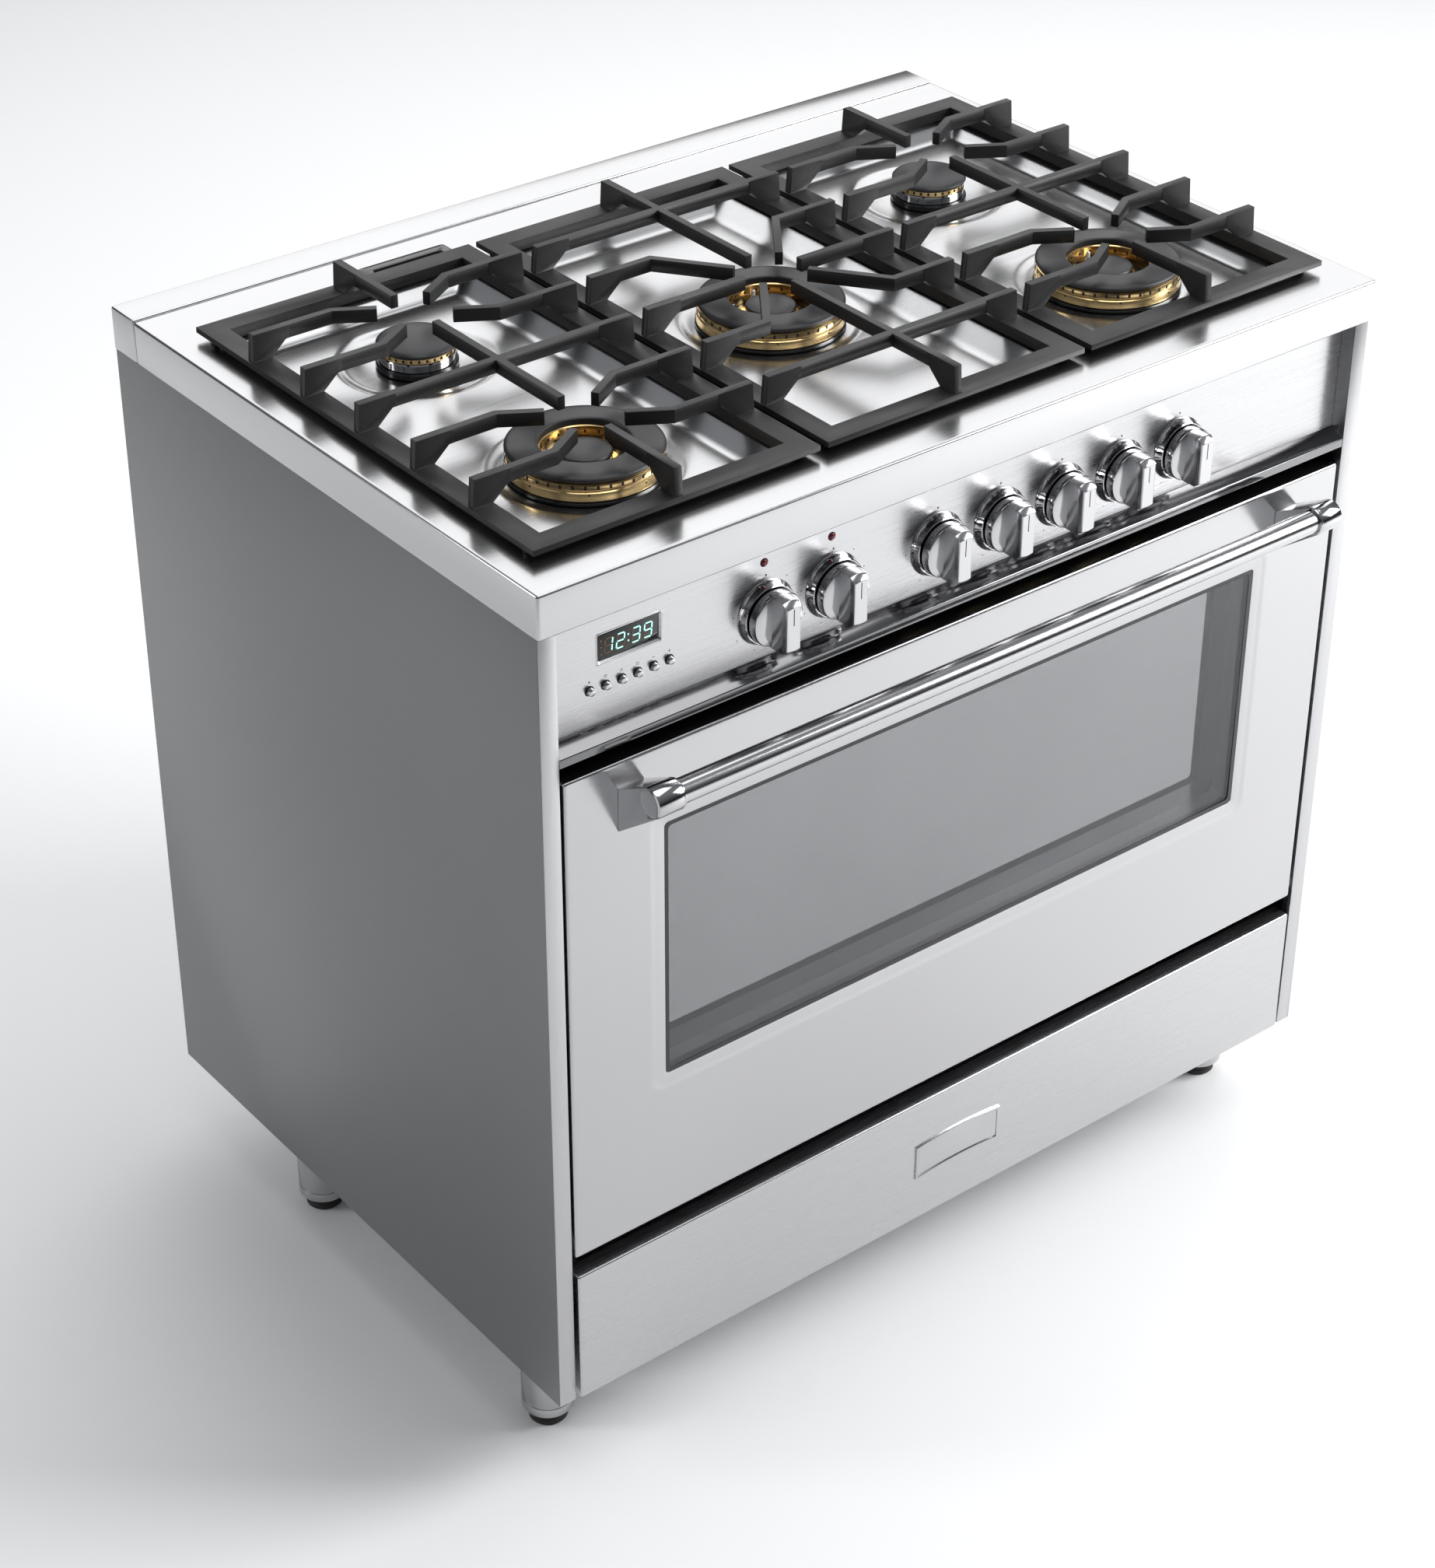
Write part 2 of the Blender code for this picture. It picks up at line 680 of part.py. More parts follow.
def make_knob(index, x):
    """Round skirt, stem and a full-height grip bar across the face."""
    seat = PANEL_FACE - BEZEL_DEPTH - GAP
    reach = PANEL_FACE + SHEET + STEM_LENGTH
    skirt = turned(
        [
            (0.0, SKIRT_DEPTH),
            (KNOB_RADIUS - 0.001, SKIRT_DEPTH),
            (KNOB_RADIUS, SKIRT_DEPTH - 0.001),
            (KNOB_RADIUS, 0.0),
            (STEM_RADIUS, 0.0),
            (STEM_RADIUS, seat - reach),
            (0.0, seat - reach),
        ],
        segments=MEDIUM, place=facing_front(x, seat, KNOB_Z))
    front = seat - SKIRT_DEPTH - GRIP_DEPTH
    grip = block(
        (x - GRIP_WIDTH / 2, x + GRIP_WIDTH / 2), (front, seat - SKIRT_DEPTH / 2), (KNOB_Z - 1, KNOB_Z + 1))
    round_body = rod(
        (x, front - GRIP_CHAMFER, KNOB_Z), (x, seat, KNOB_Z), KNOB_RADIUS - GRIP_CHAMFER, MEDIUM,
        KNOB_RADIUS - GRIP_CHAMFER + (GRIP_DEPTH + SKIRT_DEPTH + GRIP_CHAMFER))
    barrel = rod((x, front - SPARE, KNOB_Z), (x, seat, KNOB_Z), KNOB_RADIUS - GAP, MEDIUM)
    combine(grip, [barrel, round_body], "INTERSECT")
    whole = joined([skirt, grip])
    finish(whole, "knob_%d" % index, chrome(), pivot=(x, seat, KNOB_Z), smooth=True)


def make_button(index, x):
    z = APRON_EDGE - BUTTON_DROP
    pin = rod((x, PANEL_FACE - BUTTON_OUT, z), (x, PANEL_FACE + BUTTON_IN, z), BUTTON_RADIUS)
    finish(pin, "clock_button_%d" % index, chrome(), pivot=(x, PANEL_FACE, z), smooth=True)


# ---- oven door --------------------------------------------------------------
def hinge_holes():
    reach = 0.02
    return [
        rod((side * (DOOR_HALF - reach), HINGE_Y, HINGE_Z), (side * (DOOR_HALF + reach), HINGE_Y, HINGE_Z),
            HINGE_PIN_RADIUS + GAP)
        for side in (-1, 1)
    ]


def make_door_panel():
    """Outer door skin: a pan open at the back, with the window cut in its face."""
    skin = shell(
        both(DOOR_HALF), (BODY_FRONT, BODY_FRONT + DOOR_SHELL_DEPTH), (DOOR_BOTTOM, DOOR_TOP), "back")
    middle = (0.0, (WINDOW_TOP + WINDOW_BOTTOM) / 2)
    window = rounded_frustum(
        middle, (WINDOW_HALF, (WINDOW_TOP - WINDOW_BOTTOM) / 2), 0.0, 0.01, -0.01, WINDOW_CORNER)
    upright = Matrix.Translation((0, BODY_FRONT, 0)) @ Matrix.Rotation(math.radians(90), 4, "X")
    window.data.transform(upright)
    cut(skin, [window] + hinge_holes())
    finish(skin, "door_panel", steel(), pivot=(0.0, HINGE_Y, HINGE_Z))


def make_door_glass():
    y = BODY_FRONT + SHEET + GAP
    pane = block(
        both(WINDOW_HALF + GLASS_LAP), (y, y + GLASS), (WINDOW_BOTTOM - GLASS_LAP, WINDOW_TOP + GLASS_LAP))
    finish(pane, "door_glass", glass(), pivot=(0.0, HINGE_Y, HINGE_Z))


def inner_window():
    """Half width, bottom and top of the opening in the door's inner skin."""
    return (
        WINDOW_HALF - INNER_WINDOW_MARGIN / 2,
        WINDOW_BOTTOM + INNER_WINDOW_MARGIN / 2,
        WINDOW_TOP - INNER_WINDOW_MARGIN / 2,
    )


def make_door_liner():
    """Inner door skin: a pan open towards the outer skin."""
    half, low, high = inner_window()
    skin = shell(
        both(DOOR_HALF), (BODY_FRONT + DOOR_SHELL_DEPTH + GAP, DOOR_BACK), (DOOR_BOTTOM, DOOR_TOP), "front")
    cut(skin, [block(both(half), (DOOR_BACK - SPARE, DOOR_BACK + SPARE), (low, high))])
    finish(skin, "door_liner", enamel(), pivot=(0.0, HINGE_Y, HINGE_Z))


def make_door_inner_glass():
    half, low, high = inner_window()
    y = DOOR_BACK - SHEET - GAP
    pane = block(both(half + GLASS_LAP), (y - GLASS, y), (low - GLASS_LAP, high + GLASS_LAP))
    finish(pane, "door_inner_glass", glass(), pivot=(0.0, HINGE_Y, HINGE_Z))


def make_door_hinges():
    """Stub pins on the stiles that the door turns on."""
    for name, side in (("left", -1), ("right", 1)):
        start = side * (STILE_EDGE - GAP)
        disc = rod(
            (start, HINGE_Y, HINGE_Z), (start - side * SHEET, HINGE_Y, HINGE_Z), HINGE_DISC_RADIUS)
        pin = rod(
            (start - side * SHEET / 2, HINGE_Y, HINGE_Z),
            (start - side * HINGE_PIN_LENGTH, HINGE_Y, HINGE_Z), HINGE_PIN_RADIUS)
        finish(joined([disc, pin]), "door_hinge_" + name, galvanised(), smooth=True)


def tangent_point(start, centre, radius, side):
    """Where a line from start touches a circle; side picks which of the two."""
    offset = Vector(centre) - Vector(start)
    reach = math.sqrt(offset.length_squared - radius ** 2)
    angle = side * math.asin(radius / offset.length)
    turned_line = Matrix.Rotation(angle, 2) @ offset.normalized()
    return Vector(start) + turned_line * reach


def make_handle():
    """Bar, two ferrules and two wedge brackets, brazed into one piece."""
    inner = HANDLE_HALF - FERRULE_LENGTH
    bar_half = HANDLE_HALF - FERRULE_LENGTH / 2
    pieces = [rod((-bar_half, BAR_Y, BAR_Z), (bar_half, BAR_Y, BAR_Z), BAR_RADIUS, MEDIUM)]
    foot = BODY_FRONT - GAP
    high = (foot, DOOR_TOP - BRACKET_TOP)
    low = (foot, DOOR_TOP - BRACKET_TOP - BRACKET_FOOT)
    axis = (BAR_Y, BAR_Z)
    outline = [
        high,
        tangent_point(high, axis, FERRULE_RADIUS - BRACKET_INSET, -1),
        axis,
        tangent_point(low, axis, FERRULE_RADIUS - BRACKET_INSET, 1),
        low,
    ]
    stand_up = Matrix(((0, 0, 1, 0), (1, 0, 0, 0), (0, 1, 0, 0), (0, 0, 0, 1)))
    for side in (-1, 1):
        ends = (side * HANDLE_HALF, side * inner)
        pieces.append(rod((ends[0], BAR_Y, BAR_Z), (ends[1], BAR_Y, BAR_Z), FERRULE_RADIUS, MEDIUM))
        middle = Matrix.Translation(((ends[0] + ends[1]) / 2, 0, 0))
        pieces.append(plate(outline, FERRULE_LENGTH - 2 * GAP, middle @ stand_up))
    finish(joined(pieces), "door_handle", polished(), pivot=(0.0, HINGE_Y, HINGE_Z), smooth=True)


# ---- drawer -----------------------------------------------------------------
def make_drawer():
    front = shell(
        both(DRAWER_HALF), (DRAWER_FACE, DRAWER_FACE + DRAWER_FRONT_DEPTH),
        (DRAWER_BOTTOM, DRAWER_TOP), "back")
    finish(front, "drawer_front", steel())
    y = (DRAWER_BOX_FRONT, DRAWER_BOX_END)
    box = shell(both(DRAWER_BOX_HALF), y, (DRAWER_FLOOR, DRAWER_LIP), "top")
    lip_end = STILE_EDGE - DRAWER_LIP_CLEARANCE
    lips = []
    for side in (-1, 1):
        x = sorted((side * (DRAWER_BOX_HALF - SHEET / 2), side * lip_end))
        lips.append(block(x, y, (DRAWER_LIP - SHEET, DRAWER_LIP)))
    finish(combine(box, lips, "UNION"), "drawer_box", galvanised())


# ---- oven -------------------------------------------------------------------
def make_oven_liner():
    flange = block(
        both(BODY_INSIDE), (LINER_Y, LINER_Y + SHEET),
        (DOOR_BOTTOM - LINER_MARGIN_BOTTOM, DOOR_TOP + LINER_MARGIN_TOP))
    outside = block(
        both(CAVITY_HALF + SHEET), (LINER_Y + SHEET / 2, CAVITY_END + SHEET),
        (CAVITY_FLOOR - SHEET, CAVITY_CEILING + SHEET))
    cavity = block(both(CAVITY_HALF), (LINER_Y - SPARE, CAVITY_END), (CAVITY_FLOOR, CAVITY_CEILING))
    shaft = rod((0, CAVITY_END - SPARE, FAN_Z), (0, CAVITY_END + SPARE, FAN_Z), FAN_SHAFT_RADIUS + GAP)
    finish(cut(joined([flange, outside]), [cavity, shaft]), "oven_liner", enamel())


def make_gasket():
    y = (DOOR_BACK + GAP, LINER_Y - GAP)
    out = CAVITY_HALF + 2 * GASKET_WIDTH
    low = CAVITY_FLOOR - 2 * GASKET_WIDTH
    high = CAVITY_CEILING + 2 * GASKET_WIDTH
    ring = block(both(out), y, (low, high))
    hole = block(
        both(out - GASKET_WIDTH), (y[0] - SPARE, y[1] + SPARE), (low + GASKET_WIDTH, high - GASKET_WIDTH))
    finish(cut(ring, [hole]), "door_gasket", rubber())


def rung_height(level):
    return CAVITY_FLOOR + (level + 1) * (CAVITY_CEILING - CAVITY_FLOOR) / (RUNG_LEVELS + 1)


def make_rack_guides():
    """Wire ladders that hang on the oven's side walls."""
    for name, side in (("left", -1), ("right", 1)):
        post_x = side * (CAVITY_HALF - GAP - POST_RADIUS)
        rung_x = side * (CAVITY_HALF - RUNG_STANDOFF)
        low = rung_height(0) - RUNG_END
        high = rung_height(RUNG_LEVELS - 1) + RUNG_END
        posts = []
        for y in (LINER_Y + POST_END, CAVITY_END - POST_END):
            posts.append(rod((post_x, y, low), (post_x, y, high), POST_RADIUS, WIRE))
        rungs = []
        for level in range(RUNG_LEVELS):
            z = rung_height(level)
            rungs.append(rod(
                (rung_x, LINER_Y + RUNG_END, z), (rung_x, CAVITY_END - RUNG_END, z), RUNG_RADIUS, WIRE))
        ladder = joined([posts[0], rungs[0], posts[1]] + rungs[1:])
        finish(ladder, "rack_guide_" + name, chrome(), smooth=True)


def make_rack():
    """Wire shelf lying on one pair of rungs."""
    z = rung_height(RACK_LEVEL) + 2 * RUNG_RADIUS + GAP
    half = CAVITY_HALF - RACK_STANDOFF
    y = (LINER_Y + RACK_FRONT, CAVITY_END - RACK_BACK)
    ends = (y[0] + 3 * RUNG_RADIUS, y[1] - 3 * RUNG_RADIUS)
    thin = RUNG_RADIUS * 0.8
    pieces = [rod((half, y[0], z), (half, y[1], z), RUNG_RADIUS, WIRE)]
    for across in ends:
        pieces.append(rod((-half, across, z), (half, across, z), thin, 6))
    pieces.append(rod((-half, y[0], z), (-half, y[1], z), RUNG_RADIUS, WIRE))
    for i in range(RACK_RODS):
        x = -half + (i + 1) * 2 * half / (RACK_RODS + 1)
        pieces.append(rod((x, ends[0], z), (x, ends[1], z), thin * 0.9, 6))
    finish(joined(pieces), "oven_rack", chrome(), smooth=True)


def make_fan():
    """Circulation fan on the oven's rear wall and the slotted cover over it."""
    half = FAN_COVER_WIDTH / 2
    z = (CAVITY_FLOOR + FAN_COVER_MARGIN, CAVITY_CEILING - FAN_COVER_MARGIN)
    y = (CAVITY_END - FAN_COVER_DEPTH, CAVITY_END - GAP)
    cover = shell(both(half), y, z, "back")
    pitch = (z[1] - z[0]) / (FAN_SLOTS + 1)
    slots = []
    for i in range(FAN_SLOTS):
        height = z[0] + (i + 1) * pitch
        slots.append(block(
            both(half * 0.7), (y[0] - SPARE, y[0] + SPARE),
            (height - FAN_SLOT_HEIGHT / 2, height + FAN_SLOT_HEIGHT / 2)))
    finish(cut(cover, slots), "fan_cover", enamel())
    back = CAVITY_END - GAP
    front = back - FAN_HUB_LENGTH
    pieces = [rod((0, back, FAN_Z), (0, front, FAN_Z), FAN_HUB_RADIUS)]
    pieces.append(rod((0, back - 0.002, FAN_Z), (0, back + FAN_SHAFT_LENGTH, FAN_Z), FAN_SHAFT_RADIUS))
    for i in range(FAN_BLADES):
        blade = block((FAN_HUB_RADIUS * 0.6, FAN_RADIUS), (front, back), both(FAN_BLADE / 2))
        turn = Matrix.Rotation(i * 2 * math.pi / FAN_BLADES, 4, "Y")
        blade.data.transform(Matrix.Translation((0, 0, FAN_Z)) @ turn)
        pieces.append(blade)
    finish(joined(pieces), "convection_fan", galvanised(), pivot=(0.0, CAVITY_END, FAN_Z))


# ---- gas pipe and flue ------------------------------------------------------
def pipe_corner():
    """Where the manifold turns towards the rear inlet."""
    return Vector((knob_places()[-1] + PIPE_END, PANEL_FACE + PIPE_SETBACK, KNOB_Z))


def make_manifold():
    """Gas pipe behind the control panel with its five valves and the rear inlet."""
    corner = pipe_corner()
    burner_knobs = knob_places()[OVEN_KNOBS:]
    start = (burner_knobs[0] - PIPE_END, corner.y, KNOB_Z)
    valve_face = PANEL_FACE + SHEET + STEM_LENGTH + GAP
    pieces = [rod(start, corner, PIPE_RADIUS)]
    for x in burner_knobs:
        pieces.append(block(
            (x - VALVE_WIDTH / 2, x + VALVE_WIDTH / 2), (valve_face, corner.y + PIPE_RADIUS * 0.7),
            (KNOB_Z - VALVE_HEIGHT / 2, KNOB_Z + VALVE_HEIGHT / 2)))
    elbow = PIPE_RADIUS * 1.3
    pieces.append(block(
        (corner.x - elbow, corner.x + elbow), (corner.y - elbow, corner.y + elbow),
        (KNOB_Z - elbow, KNOB_Z + elbow)))
    pieces.append(rod(corner, (corner.x, BACK - GAP, KNOB_Z), PIPE_RADIUS))
    finish(joined(pieces), "gas_manifold", brass(), smooth=True)


def vent_box(margin, z):
    left = -HALF + VENT_LEFT
    front = GRATE_BACK - VENT_BEHIND
    return block(
        (left + margin, left + VENT_WIDTH - margin), (front + margin, front + VENT_DEPTH - margin), z)


def make_vent():
    base = vent_box(0.0, (TOP + GAP, TOP + VENT_HEIGHT))
    hole = vent_box(VENT_FRAME, (TOP - SPARE, TOP + SPARE))
    finish(cut(base, [hole]), "oven_vent", enamel())


# ---- cooktop ----------------------------------------------------------------
def burner_place(column, row):
    return (column * GRATE_PITCH, GRATE_Y + row * BURNER_OFFSET)


def well_shapes(z_top, z_bottom, lower):
    """The three sunken wells, each cut off at two heights and then lowered."""
    shapes = []
    half_y = (GRATE_BACK - GRATE_FRONT) / 2 - WELL_INSET_FRONT
    for _, column in GRATES:
        if column == 0:
            half_x = GRATE_WIDTH / 2 - WELL_INSET_INNER
            middle = 0.0
            run = WELL_RUN_MIDDLE
        else:
            half_x = GRATE_WIDTH / 2 - (WELL_INSET_OUTER + WELL_INSET_INNER) / 2
            middle = column * (GRATE_PITCH + (WELL_INSET_INNER - WELL_INSET_OUTER) / 2)
            run = min(WELL_RUN_SIDE, half_y - BURNER_OFFSET - LARGE_BASE_RADIUS - GAP)
        slope = run / WELL_DEPTH
        spread = (z_top - TOP) * slope
        shapes.append(rounded_frustum(
            (middle, GRATE_Y), (half_x + spread, half_y + spread), (z_top - z_bottom) * slope,
            z_top - lower, z_bottom - lower, WELL_RADIUS))
    return shapes


def dish_shapes(z_top, z_bottom, lower):
    """The shallow round dish under each burner."""
    shapes = []
    slope = DISH_WALL / DISH_DEPTH
    for _, column, row, large in BURNERS:
        x, y = burner_place(column, row)
        radius = DISH_LARGE if large else DISH_SMALL
        shapes.append(rod(
            (x, y, z_bottom - lower), (x, y, z_top - lower), radius + (z_bottom - WELL_FLOOR) * slope, FINE,
            radius + (z_top - WELL_FLOOR) * slope))
    return shapes


def make_cooktop():
    """Pressed top with a folded apron, three wells, five dishes and the flue hole.

    The sheet's underside is the same pressing as its top, one thickness lower.
    """
    sheet = shell(both(HALF), (FRONT, TRIM_SEAM - GAP), (APRON_EDGE, TOP), "bottom")
    combine(sheet, well_shapes(TOP + SHEET / 2, WELL_FLOOR, SHEET), "UNION")
    combine(sheet, dish_shapes(WELL_FLOOR + SHEET / 2, DISH_FLOOR, SHEET), "UNION")
    cut(sheet, well_shapes(TOP + SHEET, WELL_FLOOR, 0.0))
    cut(sheet, dish_shapes(WELL_FLOOR + SHEET / 10, DISH_FLOOR, 0.0))
    holes = []
    for _, column, row, _ in BURNERS:
        x, y = burner_place(column, row)
        holes.append(rod((x, y, DISH_FLOOR - SPARE), (x, y, TOP), NECK_RADIUS + GAP, MEDIUM))
    holes.append(vent_box(VENT_FRAME, (TOP - SPARE, TOP + SPARE)))
    finish(cut(sheet, holes), "cooktop", steel())


def make_rear_trim():
    trim = shell(both(HALF), (TRIM_SEAM, BACK), (APRON_EDGE, TOP + REAR_TRIM_RISE), "bottom")
    finish(trim, "rear_trim", steel())


# ---- grates -----------------------------------------------------------------
def plan_bar(points, width, z):
    """A bar seen from above: a row of points given a width and two heights."""
    left = []
    right = []
    for i, point in enumerate(points):
        before = Vector(points[max(i - 1, 0)])
        after = Vector(points[min(i + 1, len(points) - 1)])
        along_in = (Vector(point) - before).normalized() if i > 0 else None
        along_out = (after - Vector(point)).normalized() if i < len(points) - 1 else None
        along = (along_in or along_out) + (along_out or along_in)
        along.normalize()
        stretch = 1.0 / max(along.dot(along_in or along_out), 0.5)
        across = Vector((-along.y, along.x)) * width / 2 * stretch
        left.append(Vector(point) + across)
        right.append(Vector(point) - across)
    outline = left + right[::-1]
    return plate(outline, z[1] - z[0], Matrix.Translation((0, 0, (z[0] + z[1]) / 2)))


def upright(start, inward, z_flange):
    """The tall root of a finger, standing on a rail at start and leaning inwards."""
    direction = Vector((inward[0], inward[1], 0.0))
    low = z_flange - RAIL_THICKNESS / 2
    high = TOP + FINGER_TOP
    under = high - FINGER_HEIGHT
    edge = RAIL_WIDTH
    outline = [
        (FINGER_RISE, low),
        (2 * FINGER_RISE, high),
        (edge + GUSSET, high),
        (edge + GUSSET, under),
        (edge + GUSSET * 0.8, under),
        (edge - WEB_THICKNESS / 2, low),
    ]
    side = direction.cross(Vector((0, 0, 1)))
    place = Matrix((
        (direction.x, 0, side.x, start[0]),
        (direction.y, 0, side.y, start[1]),
        (0, 1, 0, 0),
        (0, 0, 0, 1),
    ))
    return plate(outline, FINGER_WIDTH, place)


def grate_frame(left, right):
    """The rail frame with its hanging web and four short feet."""
    under = TOP + RAIL_LIFT
    over = under + RAIL_THICKNESS
    frame = block((left, right), (GRATE_FRONT, GRATE_BACK), (under, over))
    inner = RAIL_WIDTH
    web_out = inner - WEB_THICKNESS
    web = block(
        (left + web_out, right - web_out), (GRATE_FRONT + web_out, GRATE_BACK - web_out),
        (TOP + WEB_BOTTOM, over - RAIL_THICKNESS / 2))
    pieces = [frame, web]
    for side, x in ((1, left), (-1, right)):
        for y in (GRATE_FRONT + FOOT_INSET_Y, GRATE_BACK - FOOT_INSET_Y):
            place = x + side * FOOT_INSET_X
            low, high = (place, y, TOP + GAP), (place, y, under + RAIL_THICKNESS / 2)
            pieces.append(rod(low, high, FOOT_RADIUS, WIRE))
    hole = block(
        (left + inner, right - inner), (GRATE_FRONT + inner, GRATE_BACK - inner),
        (TOP - SPARE, over + SPARE))
    return cut(joined(pieces), [hole])


def finger_layout(column):
    """Every finger of a grate as (rail point, inward direction, plan points)."""
    centre = column * GRATE_PITCH
    left = centre - GRATE_WIDTH / 2
    right = centre + GRATE_WIDTH / 2
    start = 2 * FINGER_RISE
    fingers = []

    def cross(level, whole, bend, target):
        y = GRATE_Y + level * FINGER_PITCH
        for side, rail in ((1, left), (-1, right)):
            outer = (rail + side * start, y)
            if whole:
                path = [outer, (centre, y)]
            elif bend is None:
                path = [outer, (centre - side * CENTRE_REACH, y)]
            else:
                tip = (centre - side * FINGER_CLEAR, target)
                path = [outer, (centre - side * bend, y), tip]
            fingers.append(((rail, y), (side, 0.0), path))

    if column == 0:
        cross(2, True, None, None)
        cross(1, False, CENTRE_BEND, GRATE_Y + FINGER_SWING)
        cross(0, False, None, None)
        cross(-1, False, CENTRE_BEND, GRATE_Y - FINGER_SWING)
        cross(-2, True, None, None)
        inner_ends = (GRATE_Y - CENTRE_REACH, GRATE_Y + CENTRE_REACH)
    else:
        rear = GRATE_Y + BURNER_OFFSET
        fore = GRATE_Y - BURNER_OFFSET
        cross(2, False, FINGER_BEND, rear + FINGER_SWING)
        cross(1, False, FINGER_BEND, rear - FINGER_SWING)
        cross(0, True, None, None)
        cross(-1, False, FINGER_BEND, fore + FINGER_SWING)
        cross(-2, False, FINGER_BEND, fore - FINGER_SWING)
        inner_ends = (fore - CENTRE_REACH, rear + CENTRE_REACH)
    for rail, inward, end in ((GRATE_FRONT, 1.0, inner_ends[0]), (GRATE_BACK, -1.0, inner_ends[1])):
        path = [(centre, rail + inward * start), (centre, end)]
        fingers.append(((centre, rail), (0.0, inward), path))
    return fingers


def make_grates():
    for name, column in GRATES:
        centre = column * GRATE_PITCH
        pieces = [grate_frame(centre - GRATE_WIDTH / 2, centre + GRATE_WIDTH / 2)]
        flange_top = TOP + RAIL_LIFT + RAIL_THICKNESS
        z = (TOP + FINGER_TOP - FINGER_HEIGHT, TOP + FINGER_TOP)
        for start, inward, path in finger_layout(column):
            pieces.append(upright(start, inward, flange_top))
            root = (start[0] + inward[0] * RAIL_WIDTH, start[1] + inward[1] * RAIL_WIDTH)
            pieces.append(plan_bar([root] + path[1:], FINGER_WIDTH - 2 * GAP, z))
        if column != 0:
            reach = BURNER_OFFSET - CENTRE_REACH
            spine = [(centre, GRATE_Y - reach), (centre, GRATE_Y + reach)]
            pieces.append(plan_bar(spine, FINGER_WIDTH - 2 * GAP, z))
        finish(joined(pieces), "grate_" + name, cast_iron())


# ---- burners ----------------------------------------------------------------
def make_burner(name, column, row, large):
    """Burner head on the cooktop with its loose caps."""
    x, y = burner_place(column, row)
    place = Matrix.Translation((x, y, TOP))
    seat = DISH_FLOOR - TOP + GAP
    neck = seat - NECK_LENGTH
    if large:
        step = seat + LARGE_BASE_HEIGHT
        channel = LARGE_CROWN_TOP - CHANNEL_DEPTH
        head = [
            (0.0, INNER_CROWN_TOP),
            (INNER_CROWN_RADIUS, INNER_CROWN_TOP),
            (INNER_CROWN_RADIUS, channel),
            (LARGE_CROWN_BORE, channel),
            (LARGE_CROWN_BORE, LARGE_CROWN_TOP),
            (LARGE_CROWN_RADIUS, LARGE_CROWN_TOP),
            (LARGE_CROWN_RADIUS, step),
            (LARGE_BASE_RADIUS, step),
            (LARGE_BASE_RADIUS, seat),
        ]
    else:
        step = seat + SMALL_BASE_HEIGHT
        head = [
            (0.0, SMALL_CROWN_TOP),
            (SMALL_CROWN_RADIUS, SMALL_CROWN_TOP),
            (SMALL_CROWN_RADIUS, step),
            (SMALL_BASE_RADIUS, step),
            (SMALL_BASE_RADIUS, seat),
        ]
    head += [(NECK_RADIUS, seat), (NECK_RADIUS, neck), (0.0, neck)]
    pivot = (x, y, TOP)
    finish(turned(head, place=place), "burner_head_" + name, brass(), pivot=pivot, smooth=True)
    rim = 0.0015
    if large:
        low = LARGE_CROWN_TOP + GAP
        high = low + CAP_THICKNESS
        ring = [
            (OUTER_CAP_BORE, high - rim),
            (OUTER_CAP_BORE + rim, high),
            (OUTER_CAP_RADIUS - 2 * rim, high),
            (OUTER_CAP_RADIUS, high - rim),
            (OUTER_CAP_RADIUS, low + rim),
            (OUTER_CAP_RADIUS - rim, low),
            (OUTER_CAP_BORE, low),
        ]
        cap = turned(ring, closed=True, place=place)
        finish(cap, "burner_cap_" + name, enamel(), pivot=pivot, smooth=True)
        low = INNER_CROWN_TOP + GAP
        button = dome(INNER_CAP_RADIUS, low, INNER_CAP_THICKNESS, rim)
        inner = turned(button, segments=MEDIUM, place=place)
        finish(inner, "inner_cap_" + name, enamel(), pivot=pivot, smooth=True)
    else:
        low = SMALL_CROWN_TOP + GAP
        cap = turned(dome(SMALL_CAP_RADIUS, low, SMALL_CAP_THICKNESS, rim), place=place)
        finish(cap, "burner_cap_" + name, enamel(), pivot=pivot, smooth=True)


def dome(radius, low, thickness, rim):
    """Profile of a slightly domed cap."""
    high = low + thickness
    return [
        (0.0, high),
        (radius * 0.6, high - rim / 2),
        (radius - rim, high - 2 * rim),
        (radius, high - 3 * rim),
        (radius, low + rim / 2),
        (radius - rim, low),
        (0.0, low),
    ]


def main():
    clear_scene()
    make_side_panels()
    make_back_panel()
    make_base_pan()
    make_feet()
    make_cooktop()
    make_rear_trim()
    make_control_panel()
    make_ledge()
    make_clock()
    for index, x in enumerate(knob_places(), start=1):
        make_knob(index, x)
    for index, x in enumerate(button_places(), start=1):
        make_button(index, x)
    make_door_panel()
    make_door_glass()
    make_door_liner()
    make_door_inner_glass()
    make_door_hinges()
    make_handle()
    make_drawer()
    make_oven_liner()
    make_gasket()
    make_rack_guides()
    make_rack()
    make_fan()
    make_manifold()
    make_vent()
    make_grates()
    for name, column, row, large in BURNERS:
        make_burner(name, column, row, large)


main()
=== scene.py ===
"""Looks of the freestanding gas range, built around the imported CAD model."""

import math

import bmesh
import bpy
from mathutils import Matrix, Vector


